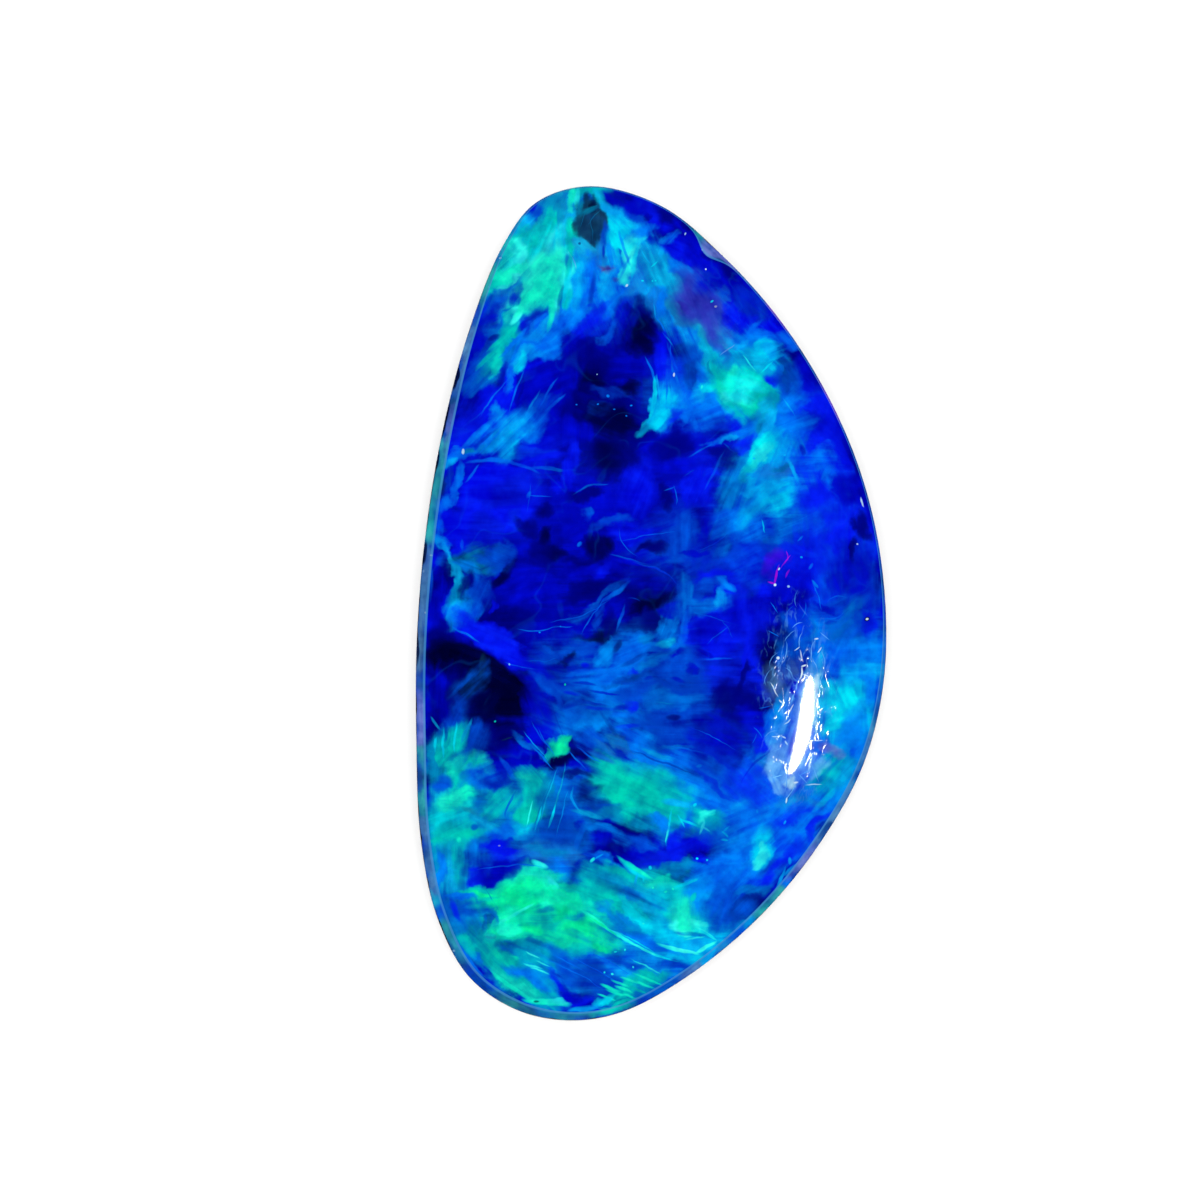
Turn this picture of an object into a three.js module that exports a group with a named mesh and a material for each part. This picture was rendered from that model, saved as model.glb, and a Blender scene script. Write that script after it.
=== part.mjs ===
// An opal cabochon: one polished freeform stone with a long half-moon outline, a domed face,
// a narrow polished bevel round the dome, a thin straight wall and a flat ground back.
// Millimetres, +Z up. The stone lies on its back. The origin is under the middle of the outline's
// box, on the face it rests on; +Y runs along the stone and +X towards its bulging side.
import * as THREE from "three";
import { ParametricGeometry } from "three/addons/geometries/ParametricGeometry.js";
import { mergeVertices } from "three/addons/utils/BufferGeometryUtils.js";

// The outline, clockwise from the narrow end, seen from above: x, y, and how wide the polished
// bevel is there, measured in plan.
const RIM = [
  [-1.45, 10.0, 0.04],
  [0.26, 9.52, 0.04],
  [1.84, 8.22, 0.05],
  [3.31, 6.5, 0.05],
  [4.48, 4.5, 0.05],
  [5.22, 2.5, 0.05],
  [5.6, 0.3, 0.07],
  [5.58, -1.9, 0.12],
  [5.08, -3.9, 0.15],
  [4.02, -5.8, 0.19],
  [2.62, -7.5, 0.2],
  [0.87, -8.95, 0.19],
  [-0.7, -9.8, 0.2],
  [-1.95, -10.0, 0.22],
  [-3.22, -9.75, 0.25],
  [-4.37, -8.95, 0.25],
  [-5.14, -7.5, 0.25],
  [-5.53, -5.6, 0.24],
  [-5.63, -3.3, 0.24],
  [-5.62, -0.9, 0.24],
  [-5.43, 1.5, 0.25],
  [-5.03, 4.0, 0.24],
  [-4.38, 6.5, 0.18],
  [-3.53, 8.62, 0.1],
  [-2.74, 9.62, 0.05],
];
// Heights above the back
const BACK_BEVEL_TOP = 0.35;
const DOME_EDGE = 1.5;
const DOME_TOP = 3.6;

// The wall, the bevels and the dome
const BACK_BEVEL_WIDTH = 0.4;
const WALL_LEAN = 0.05;
const BEVEL_SLOPE = THREE.MathUtils.degToRad(50);
const DOME_CENTRE = new THREE.Vector2(-0.4, -0.25);
const DOME_POWER = 2.2;

// The oval that the dome's level lines round off to towards its top, as half of each axis
const CROWN_OVAL = new THREE.Vector2(5.5, 9.8);

// A flat spot worn into the rim beside the narrow end, shallower than the bevel, and how fast the
// dome above it forgets it
const FLAT_SPOT = { x: 1.5, y: 8.56, halfLength: 0.42, width: 0.24 };
const FLAT_SPOT_SLOPE = THREE.MathUtils.degToRad(35);
const FLAT_SPOT_FADE = 12;

// How finely the stone is faceted
const FACETS_ROUND = 125;
const DOME_ROWS = 21;
const DOME_ROW_CROWDING = 1.35;

const rimCurve = new THREE.CatmullRomCurve3(
  RIM.map(([x, y, bevel]) => new THREE.Vector3(x, y, bevel)),
  true,
  "centripetal",
);

// The rim at a share of the way round: its place, the way out of the stone, how wide the bevel and
// the flat spot are there in plan, and how far below the dome's edge they start
function rimAt(share) {
  const point = rimCurve.getPoint(share % 1);
  const along = rimCurve.getTangent(share % 1);
  const fromFlat = Math.hypot(point.x - FLAT_SPOT.x, point.y - FLAT_SPOT.y) / FLAT_SPOT.halfLength;
  const flat = FLAT_SPOT.width * Math.exp(-(fromFlat ** 2));
  return {
    place: new THREE.Vector2(point.x, point.y),
    outward: new THREE.Vector2(-along.y, along.x).normalize(),
    bevel: point.z,
    flat,
    rise: point.z * Math.tan(BEVEL_SLOPE) + flat * Math.tan(FLAT_SPOT_SLOPE),
  };
}

// A point on the section through the rim: inset is how far inside the outline it lies
function onSection(rim, inset, height, target) {
  const plan = rim.place.clone().addScaledVector(rim.outward, -inset);
  return target.set(plan.x, plan.y, height);
}

// A point on the dome: reach runs from 0 at its top to 1 at its edge
function onDome(rim, reach, target) {
  const inset = rim.bevel + rim.flat * reach ** FLAT_SPOT_FADE;
  const spoke = rim.place.clone().addScaledVector(rim.outward, -inset).sub(DOME_CENTRE);
  const toOval = spoke.length() / spoke.clone().divide(CROWN_OVAL).length();
  const length = reach * THREE.MathUtils.lerp(toOval, spoke.length(), reach);
  const plan = spoke.setLength(length).add(DOME_CENTRE);
  const height = DOME_TOP - (DOME_TOP - DOME_EDGE) * reach ** DOME_POWER;
  return target.set(plan.x, plan.y, height);
}

// The rows of the stone's skin, from the middle of the back, out over the rim, to the dome's top
const backRows = [
  (rim, target) => target.set(DOME_CENTRE.x, DOME_CENTRE.y, 0),
  (rim, target) => onSection(rim, BACK_BEVEL_WIDTH, 0, target),
  (rim, target) => onSection(rim, WALL_LEAN, BACK_BEVEL_TOP, target),
  (rim, target) => onSection(rim, 0, DOME_EDGE - rim.rise, target),
];
const domeRows = Array.from({ length: DOME_ROWS + 1 }, (_, row) => {
  const reach = 1 - (row / DOME_ROWS) ** DOME_ROW_CROWDING;
  return (rim, target) => onDome(rim, reach, target);
});
const skinRows = [...backRows, ...domeRows];

// The skin as one closed geometry
function cabochonGeometry() {
  const lastRow = skinRows.length - 1;
  const skin = new ParametricGeometry(
    (row, round, target) => skinRows[Math.round(row * lastRow)](rimAt(round), target),
    lastRow,
    FACETS_ROUND,
  );
  skin.deleteAttribute("normal");
  skin.deleteAttribute("uv");
  const closed = mergeVertices(skin, 1e-4);
  closed.computeVertexNormals();
  return closed;
}

const polishedOpal = new THREE.MeshStandardMaterial({
  color: new THREE.Color(0.01, 0.09, 0.62),
  roughness: 0.06,
  metalness: 0,
});

const cabochon = new THREE.Mesh(cabochonGeometry(), polishedOpal);
cabochon.name = "opal_cabochon";

const stone = new THREE.Group();
stone.add(cabochon);

export default stone;
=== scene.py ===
"""A polished freeform opal cabochon on a pale floor, seen square on from above.

The stone's skin is made by Geometry Nodes from the same rule as the solid: a section swept round the
rim. Its play of colour is painted by shader nodes, patch over patch, each listed with its place. Sizes
and places on the stone are in millimetres, seen from above with the narrow end up; lengths in the scene
are in metres.
"""
import math
from collections import namedtuple

import bpy
from mathutils import Matrix, Vector


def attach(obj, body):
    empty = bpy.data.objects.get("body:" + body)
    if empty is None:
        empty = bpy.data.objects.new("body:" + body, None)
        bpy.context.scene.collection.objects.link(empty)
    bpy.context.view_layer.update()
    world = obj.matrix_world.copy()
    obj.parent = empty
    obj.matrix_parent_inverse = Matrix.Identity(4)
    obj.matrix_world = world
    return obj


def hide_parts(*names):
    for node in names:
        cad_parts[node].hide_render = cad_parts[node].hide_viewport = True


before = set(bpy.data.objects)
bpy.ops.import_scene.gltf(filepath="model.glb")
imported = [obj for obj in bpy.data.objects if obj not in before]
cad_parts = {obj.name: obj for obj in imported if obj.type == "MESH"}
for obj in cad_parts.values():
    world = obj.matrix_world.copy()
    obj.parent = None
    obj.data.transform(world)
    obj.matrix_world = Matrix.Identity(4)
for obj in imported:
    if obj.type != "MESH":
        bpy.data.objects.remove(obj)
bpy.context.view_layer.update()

MM = 0.001

# The outline, clockwise from the narrow end: x, y, and how wide the polished bevel is there
RIM = [
    (-1.45, 10.0, 0.04),
    (0.26, 9.52, 0.04),
    (1.84, 8.22, 0.05),
    (3.31, 6.5, 0.05),
    (4.48, 4.5, 0.05),
    (5.22, 2.5, 0.05),
    (5.6, 0.3, 0.07),
    (5.58, -1.9, 0.12),
    (5.08, -3.9, 0.15),
    (4.02, -5.8, 0.19),
    (2.62, -7.5, 0.2),
    (0.87, -8.95, 0.19),
    (-0.7, -9.8, 0.2),
    (-1.95, -10.0, 0.22),
    (-3.22, -9.75, 0.25),
    (-4.37, -8.95, 0.25),
    (-5.14, -7.5, 0.25),
    (-5.53, -5.6, 0.24),
    (-5.63, -3.3, 0.24),
    (-5.62, -0.9, 0.24),
    (-5.43, 1.5, 0.25),
    (-5.03, 4.0, 0.24),
    (-4.38, 6.5, 0.18),
    (-3.53, 8.62, 0.1),
    (-2.74, 9.62, 0.05),
]
RIM_STEPS = 24

# Heights above the back, and the wall, the bevels and the dome, as in the solid
BACK_BEVEL_TOP = 0.35
DOME_EDGE = 1.5
DOME_TOP = 3.6
BACK_BEVEL_WIDTH = 0.4
WALL_LEAN = 0.05
BEVEL_SLOPE = math.radians(50)
DOME_CENTRE = (-0.4, -0.25, 0)
DOME_POWER = 2.2
CROWN_OVAL = (5.5, 9.8, 1)

# The worn flat spot beside the narrow end
FLAT_SPOT = (1.5, 8.56, 0)
FLAT_SPOT_HALF_LENGTH = 0.42
FLAT_SPOT_WIDTH = 0.24
FLAT_SPOT_SLOPE = math.radians(35)
FLAT_SPOT_FADE = 12

# How close points of the skin are welded, at its seam and at its two poles
WELD = 0.002

# The box that the painting is cut up in, a little bigger than the stone
WIDTH = 11.4
LENGTH = 20.2

# How bright the studio is against one in which white just shows white
LIGHT = 1.8

# The polish: its index of refraction, how rough and how glossy it is, and its slight waves
OPAL_IOR = 1.45
POLISH = 0.045
GLOSS = 0.3
RELIEF_WAVE = 1.4
RELIEF_DEPTH = 0.002

# Fine crinkles in the polish, which are drawn out along y
CRINKLE_WAVE = 0.3
CRINKLE_STRETCH = (1, 0.45, 1)
CRINKLE_DEPTH = 0.0015
CRINKLE_WIDTH = 0.045
CRINKLE_GAPS = 0.3

# Where the polish is crinkled, as an oval: its middle and half its sizes. Another oval in it, round the
# middle of the highlight, stays smooth. Where the crinkles are, pale veins are painted: painted glints of
# the strip lamp
CRINKLED = (3.5, -2.3, 0)
CRINKLED_SIZE = (1.05, 2.7, 1)
SMOOTH_SIZE = (0.34, 1.35, 1)
GLINT_VEIN = (90, 170, 255)
GLINT_VEIN_STRENGTH = 0.4

# The ground potch of the wall and the back
POTCH = (10, 16, 30)
POTCH_ROUGHNESS = 0.5
POTCH_GLOSS = 0.2

# Up the section of the stone, the wall counts from 0 to 1, the bevel to 2 and the dome to 3. The bevel's
# colours give way to the dome's just below the edge
BEVEL_SECTION = (1, 2)
BEVEL_BLEND = 0.12

# How many rows of faces each part of the skin has, and how many faces go round
FACES_ROUND = 560
BACK_ROWS = 6
BACK_BEVEL_ROWS = 6
WALL_ROWS = 10
BEVEL_ROWS = 8
DOME_ROWS = 120
DOME_ROW_CROWDING = 1.3
EDGE_ROUNDING_ROWS = 2.0

# The strip lamp: the place on the dome that mirrors its middle, the way to it from there, which way it
# lies, how far its mirror image leans from +y, and its distance, size and power
LAMP_SHINE = (3.56, -3.02, 2.45)
LAMP_DIRECTION = (0.785, -0.282, 0.552)
LAMP_ALONG = (0.0685, 0.274, 0.043)
SHINE_TURN = math.radians(9)
LAMP_DISTANCE = 300
LAMP_LENGTH = 90
LAMP_WIDTH = 19
LAMP_POWER = 0.8

# The photograph: its width in pixels, how many of them a millimetre takes, and the pixel above the
# middle of the stone's box
PHOTO_WIDTH = 1200
PHOTO_SCALE = 41.75
PHOTO_MIDDLE = (651, 603.5)

# The camera: its distance from the dome's edge, and the width of its film
CAMERA_DISTANCE = 300
FILM_WIDTH = 36

# The floor: half its width in metres, how far it lies below the stone, and its card
FLOOR_HALF = 1.5
FLOOR_DROP = 0.01
CARD = (0.93, 0.93, 0.93, 1)
CARD_ROUGHNESS = 0.9


class Field:
    """A value that varies over the stone: a socket, on which arithmetic adds nodes."""

    def __init__(self, socket):
        self.socket = socket

    def _with(self, operation, *others):
        return math_node(self.socket.id_data, operation, self, *others)

    def __add__(self, other):
        return self._with("ADD", other)

    def __sub__(self, other):
        return self._with("SUBTRACT", other)

    def __mul__(self, other):
        return self._with("MULTIPLY", other)

    def __truediv__(self, other):
        return self._with("DIVIDE", other)

    def __pow__(self, other):
        return self._with("POWER", other)

    def __rsub__(self, other):
        return math_node(self.socket.id_data, "SUBTRACT", other, self)


def feed(socket, value):
    """Joins a field to an input socket, or writes a plain value on it."""
    if isinstance(value, Field):
        socket.id_data.links.new(value.socket, socket)
    else:
        socket.default_value = value


def add_node(tree, kind, inputs=(), **settings):
    """Adds a node with its settings, and feeds its inputs by name or by place."""
    node = tree.nodes.new(kind)
    for name, value in settings.items():
        setattr(node, name, value)
    for key, value in dict(inputs).items():
        feed(node.inputs[key], value)
    return node


def math_node(tree, operation, *values):
    return Field(add_node(tree, "ShaderNodeMath", enumerate(values), operation=operation).outputs[0])


def vector_node(tree, operation, *values, result="Vector"):
    node = add_node(tree, "ShaderNodeVectorMath", enumerate(values), operation=operation)
    return Field(node.outputs[result])


def scaled(tree, vector, factor):
    node = add_node(tree, "ShaderNodeVectorMath", {0: vector, "Scale": factor}, operation="SCALE")
    return Field(node.outputs["Vector"])


def ramp(value, start, end, low=0.0, high=1.0, shape="LINEAR", clamp=True):
    """The value carried from start..end to low..high, and held at the ends."""
    inputs = {"Value": value, "From Min": start, "From Max": end, "To Min": low, "To Max": high}
    tree = value.socket.id_data
    node = add_node(tree, "ShaderNodeMapRange", inputs, interpolation_type=shape, clamp=clamp)
    return Field(node.outputs["Result"])


def smooth_step(value, start, end, low=0.0, high=1.0):
    """As ramp, with eased ends, and without a clamp, which would cost the shader's stack a slot."""
    return ramp(value, start, end, low, high, shape="SMOOTHSTEP", clamp=False)


def split(tree, vector):
    parts = add_node(tree, "ShaderNodeSeparateXYZ", {"Vector": vector}).outputs
    return [Field(part) for part in parts]


def join(tree, x, y, z=0.0):
    return Field(add_node(tree, "ShaderNodeCombineXYZ", {"X": x, "Y": y, "Z": z}).outputs["Vector"])


# The skin

SKIN_SIZES = {
    "Faces Round": ("Int", FACES_ROUND),
    "Back Bevel Width": ("Float", BACK_BEVEL_WIDTH),
    "Back Bevel Top": ("Float", BACK_BEVEL_TOP),
    "Wall Lean": ("Float", WALL_LEAN),
    "Bevel Slope": ("Float", BEVEL_SLOPE),
    "Dome Edge": ("Float", DOME_EDGE),
    "Dome Top": ("Float", DOME_TOP),
    "Dome Centre": ("Vector", DOME_CENTRE),
    "Dome Power": ("Float", DOME_POWER),
    "Crown Oval": ("Vector", CROWN_OVAL),
    "Flat Spot": ("Vector", FLAT_SPOT),
    "Flat Spot Half Length": ("Float", FLAT_SPOT_HALF_LENGTH),
    "Flat Spot Width": ("Float", FLAT_SPOT_WIDTH),
    "Flat Spot Slope": ("Float", FLAT_SPOT_SLOPE),
    "Flat Spot Fade": ("Float", FLAT_SPOT_FADE),
}


def rim_points():
    """The rim as a close chain of points, on the same smooth curve through RIM as the solid's."""
    points = [Vector(point) for point in RIM]
    count = len(points)
    chain = []
    for i in range(count):
        before, here, after, beyond = (points[(i + k) % count] for k in (-1, 0, 1, 2))
        pairs = ((before, here), (here, after), (after, beyond))
        first, middle, last = ((b - a).length ** 0.5 for a, b in pairs)
        leave = (here - before) / first - (after - before) / (first + middle) + (after - here) / middle
        arrive = (after - here) / middle - (beyond - here) / (middle + last) + (beyond - after) / last
        leave *= middle
        arrive *= middle
        for step in range(RIM_STEPS):
            t = step / RIM_STEPS
            square = 3 * (after - here) - 2 * leave - arrive
            cube = 2 * (here - after) + leave + arrive
            chain.append(here + leave * t + square * t**2 + cube * t**3)
    return chain


def rim_curve():
    """A closed curve along the rim. Its height holds the bevel's width."""
    curve = bpy.data.curves.new("rim", "CURVE")
    curve.dimensions = "3D"
    chain = rim_points()
    spline = curve.splines.new("POLY")
    spline.points.add(len(chain) - 1)
    for point, place in zip(spline.points, chain):
        point.co = (*place, 1)
    spline.use_cyclic_u = True
    rim = bpy.data.objects.new("rim", curve)
    bpy.context.scene.collection.objects.link(rim)
    return rim


def skin_tree():
    """The tree that sweeps the section of the stone round its rim."""
    tree = bpy.data.node_groups.new("Cabochon skin", "GeometryNodeTree")
    tree.interface.new_socket("Rim", in_out="INPUT", socket_type="NodeSocketGeometry")
    for name, (kind, value) in SKIN_SIZES.items():
        socket = tree.interface.new_socket(name, in_out="INPUT", socket_type="NodeSocket" + kind)
        socket.default_value = value
    tree.interface.new_socket("Finish", in_out="INPUT", socket_type="NodeSocketMaterial")
    tree.interface.new_socket("Skin", in_out="OUTPUT", socket_type="NodeSocketGeometry")
    source = tree.nodes.new("NodeGroupInput")
    size = {socket.name: Field(socket) for socket in source.outputs if socket.name}

    # A flat sheet of faces: x is the share of the way round, y counts the rows from the back's middle
    rows = BACK_ROWS + BACK_BEVEL_ROWS + WALL_ROWS + BEVEL_ROWS + DOME_ROWS
    sheet = add_node(
        tree,
        "GeometryNodeMeshGrid",
        {"Size X": 1.0, "Size Y": float(rows), "Vertices X": size["Faces Round"], "Vertices Y": rows + 1},
    )
    on_sheet = Field(add_node(tree, "GeometryNodeInputPosition").outputs[0])
    sheet_x, sheet_y, _ = split(tree, on_sheet)
    share = sheet_x + 0.5
    row = sheet_y + rows / 2

    # How far through each part of the section a row is
    through = {}
    reached = 0
    for part, count in (
        ("back", BACK_ROWS),
        ("back bevel", BACK_BEVEL_ROWS),
        ("wall", WALL_ROWS),
        ("bevel", BEVEL_ROWS),
    ):
        first = reached - (0 if part == "back" else EDGE_ROUNDING_ROWS / 2)
        reached += count
        last = reached + (0 if part == "bevel" else EDGE_ROUNDING_ROWS / 2)
        through[part] = ramp(row, first, last, shape="LINEAR" if part == "back" else "SMOOTHSTEP")
    climb = ramp(row, reached, rows)
    reach = 1 - climb**DOME_ROW_CROWDING

    # The rim there, the way out of the stone, and how wide and how high the bevel and the flat spot are
    inputs = {"Curves": size["Rim"], "Factor": share}
    sample = add_node(tree, "GeometryNodeSampleCurve", inputs, mode="FACTOR")
    rim_x, rim_y, bevel = split(tree, Field(sample.outputs["Position"]))
    along_x, along_y, _ = split(tree, Field(sample.outputs["Tangent"]))
    rim = join(tree, rim_x, rim_y)
    outward = vector_node(tree, "NORMALIZE", join(tree, 0 - along_y, along_x))
    from_flat = vector_node(tree, "DISTANCE", rim, size["Flat Spot"], result="Value")
    flat = size["Flat Spot Width"] * math_node(
        tree, "EXPONENT", 0 - (from_flat / size["Flat Spot Half Length"]) ** 2
    )
    rise = bevel * math_node(tree, "TANGENT", size["Bevel Slope"]) + flat * math_node(
        tree, "TANGENT", size["Flat Spot Slope"]
    )
    girdle = size["Dome Edge"] - rise

    # How far inside the outline, and how high, the row lies before the dome draws it in
    inset = (
        size["Back Bevel Width"] * (1 - through["back bevel"])
        + size["Wall Lean"] * (through["back bevel"] - through["wall"])
        + (bevel + flat * reach ** size["Flat Spot Fade"]) * through["bevel"]
    )
    height = (
        size["Back Bevel Top"] * through["back bevel"]
        + (girdle - size["Back Bevel Top"]) * through["wall"]
        + rise * through["bevel"]
        + (size["Dome Top"] - size["Dome Edge"]) * (1 - reach ** size["Dome Power"])
    )
    edge = vector_node(tree, "SUBTRACT", rim, scaled(tree, outward, inset))
    spoke = vector_node(tree, "SUBTRACT", edge, size["Dome Centre"])
    length = vector_node(tree, "LENGTH", spoke, result="Value")
    stretched = vector_node(tree, "DIVIDE", spoke, size["Crown Oval"])
    to_oval = length / vector_node(tree, "LENGTH", stretched, result="Value")
    rounded = to_oval + (length - to_oval) * reach
    drawn_in = rounded / length * reach * through["back"]
    plan = vector_node(tree, "ADD", scaled(tree, spoke, drawn_in), size["Dome Centre"])
    plan_x, plan_y, _ = split(tree, plan)
    place = vector_node(tree, "MULTIPLY", join(tree, plan_x, plan_y, height), (MM, MM, MM))

    # The sheet swept to its place, closed at the seam and at both poles, with its faces outward. Each
    # point keeps how far up the section it is, for the finish
    section = through["wall"] + through["bevel"] + climb
    skin = Field(sheet.outputs["Mesh"])
    for kind, inputs in (
        ("StoreNamedAttribute", {"Name": "section", "Value": section}),
        ("SetPosition", {"Position": place}),
        ("MergeByDistance", {"Distance": WELD * MM}),
        ("SetShadeSmooth", {}),
        ("FlipFaces", {}),
        ("RealizeInstances", {}),
        ("SetMaterial", {"Material": size["Finish"]}),
    ):
        skin = Field(add_node(tree, "GeometryNode" + kind, {0: skin} | inputs).outputs[0])
    feed(tree.nodes.new("NodeGroupOutput").inputs["Skin"], skin)
    return tree


def make_stone(finish):
    """The stone as one plain mesh."""
    rim = rim_curve()
    tree = skin_tree()
    modifier = rim.modifiers.new("Cabochon skin", "NODES")
    modifier.node_group = tree
    values = {name: value for name, (_, value) in SKIN_SIZES.items()} | {"Finish": finish}
    for socket in tree.interface.items_tree:
        if socket.in_out == "INPUT" and socket.name in values:
            modifier[socket.identifier] = values[socket.name]
    bpy.context.view_layer.update()
    graph = bpy.context.evaluated_depsgraph_get()
    mesh = bpy.data.meshes.new_from_object(rim.evaluated_get(graph), depsgraph=graph)
    bpy.data.objects.remove(rim)
    mesh.materials.clear()
    mesh.materials.append(finish)
    mesh.polygons.foreach_set("material_index", [0] * len(mesh.polygons))
    stone = bpy.data.objects.new("opal", mesh)
    bpy.context.scene.collection.objects.link(stone)
    return stone


# The play of colour

# Each shade as a dark and a light tone, as they show in the render
SHADES = {
    "black": ((0, 0, 22), (0, 3, 70)),
    "navy": ((0, 0, 84), (0, 3, 140)),
    "royal": ((0, 0, 150), (0, 10, 226)),
    "blue": ((0, 0, 228), (4, 34, 255)),
    "marine": ((0, 32, 164), (0, 88, 234)),
    "azure": ((0, 70, 230), (0, 142, 255)),
    "sky": ((0, 134, 238), (10, 198, 255)),
    "cyan": ((0, 184, 230), (0, 240, 255)),
    "aqua": ((0, 226, 230), (60, 255, 244)),
    "mint": ((0, 226, 190), (30, 255, 216)),
    "green": ((0, 220, 140), (14, 255, 172)),
    "sea": ((0, 156, 166), (0, 222, 200)),
    "teal": ((0, 88, 160), (0, 154, 204)),
    "dusk": ((24, 84, 158), (70, 150, 204)),
    "slate": ((2, 26, 56), (20, 66, 104)),
    "violet": ((22, 22, 160), (62, 62, 210)),
    "purple": ((44, 24, 120), (92, 50, 160)),
    "lilac": ((96, 104, 196), (166, 156, 228)),
    "white": ((150, 210, 255), (244, 255, 255)),
    "ice": ((20, 130, 250), (140, 214, 255)),
    "jade": ((0, 172, 170), (0, 214, 184)),
    "smoke blue": ((44, 92, 150), (96, 150, 206)),
    "smoke teal": ((20, 120, 140), (60, 184, 190)),
    "smoke lilac": ((76, 96, 186), (130, 144, 226)),
    "fringe": ((90, 40, 200), (190, 70, 220)),
    "thread": ((120, 0, 214), (240, 30, 240)),
    "thread glow": ((20, 0, 200), (74, 0, 230)),
}

# The patches, in the order they are laid over one another: the shade, or the shades of its dark and
# its light tone; the place of its middle; half its length and half its width; how far it is turned
# from +x; and, where it has them, how far its ends droop, how solid it is (above 1 its core is quite
# solid) and how soft its edge is. A patch that doesn't say is this solid
PATCH_STRENGTH = 0.88

# Wide soft washes first
WASHES = [
    ("royal-blue", -1.0, 9.5, 1.4, 0.6, -10),
    ("sea-cyan", -2.7, 8.3, 1.7, 0.8, 60),
    ("azure-sky", -1.2, 8.2, 1.5, 0.9, -75),
    ("azure-sky", -0.1, 8.1, 1.4, 0.5, -62),
    ("azure", -2.5, 7.0, 1.1, 0.7, 50),
    ("teal-azure", -3.4, 6.6, 1.1, 0.5, 62),
    ("royal", 1.4, 8.5, 1.2, 0.4, -42),
    ("blue", 2.2, 7.0, 1.1, 0.6, -50),
    ("violet-azure", 1.2, 7.1, 0.9, 0.5, -50, 0, 0.7),
    ("azure-sky", 1.2, 6.3, 1.0, 0.5, -62),
    ("sky-cyan", 2.4, 5.3, 1.4, 0.8, -50),
    ("azure", 0.9, 5.0, 1.0, 0.8, 0),
    ("sky-cyan", 2.7, 3.6, 1.3, 0.7, 62),
    ("blue-marine", 3.3, 4.7, 0.9, 0.6, 0),
    ("azure-sky", 3.5, 2.9, 0.9, 0.8, 0),
    ("blue", 4.4, 2.6, 1.6, 0.6, -65),
    ("blue", -3.6, 4.6, 1.6, 0.5, 50),
    ("royal", -2.4, 5.0, 1.3, 0.6, 50),
    ("navy-royal", -1.1, 5.0, 1.4, 1.2, 80),
    ("royal-blue", -3.4, 2.4, 1.4, 1.1, 10),
    ("royal-blue", 0.3, 3.2, 1.8, 1.3, 10),
    ("royal", -1.0, 2.2, 1.6, 0.8, 0),
    ("navy-royal", -2.4, 0.5, 1.7, 1.4, 0),
    ("royal-marine", 0.8, 0.8, 1.0, 1.3, 20, 0, 0.6),
    ("royal-azure", 2.6, 1.6, 1.2, 0.9, 0, 0, 0.5),
    ("marine-azure", -0.4, -1.5, 2.0, 0.8, 8),
    ("royal-blue", 1.9, -0.8, 0.9, 1.8, 0),
    ("blue-marine", 4.5, 0.6, 1.6, 0.7, -85),
    ("azure", 4.6, -1.0, 1.0, 0.7, 0),
    ("sky-cyan", 4.8, -2.6, 1.4, 0.6, 80),
    ("sky", 4.3, -4.3, 1.1, 0.5, 55),
    ("blue-azure", 3.2, -3.9, 1.3, 0.8, 70),
    ("royal-marine", 0.6, -2.8, 1.6, 0.6, -10),
    ("marine-azure", -1.1, -2.9, 1.4, 0.7, -20),
    ("sea-sky", -4.7, -4.8, 1.8, 0.6, 87),
    ("teal-sky", -3.4, -4.7, 0.8, 0.7, 0),
    ("teal-azure", -2.5, -5.2, 0.9, 0.9, 0),
    ("sea-sky", 0.1, -4.6, 1.5, 0.7, -15),
    ("azure", 1.7, -4.6, 1.4, 0.8, -20),
    ("azure-sky", 2.6, -5.4, 1.0, 0.7, 20),
    ("blue-azure", 3.6, -5.3, 1.2, 0.5, 50),
    ("azure", 2.2, -6.4, 1.6, 0.6, 40),
    ("royal-azure", -3.3, -6.3, 1.6, 0.5, 5),
    ("sea-green", -2.7, -7.4, 1.8, 0.9, 5),
    ("sea-cyan", 0.0, -7.1, 1.4, 0.8, -15),
    ("sky-cyan", 0.7, -8.0, 1.4, 0.5, 5),
    ("azure-sky", -1.2, -8.7, 1.7, 0.6, -10),
    ("sea", -3.4, -8.7, 1.4, 0.4, -40),
    ("teal-azure", -4.5, -7.6, 0.9, 0.5, -70),
]
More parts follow.
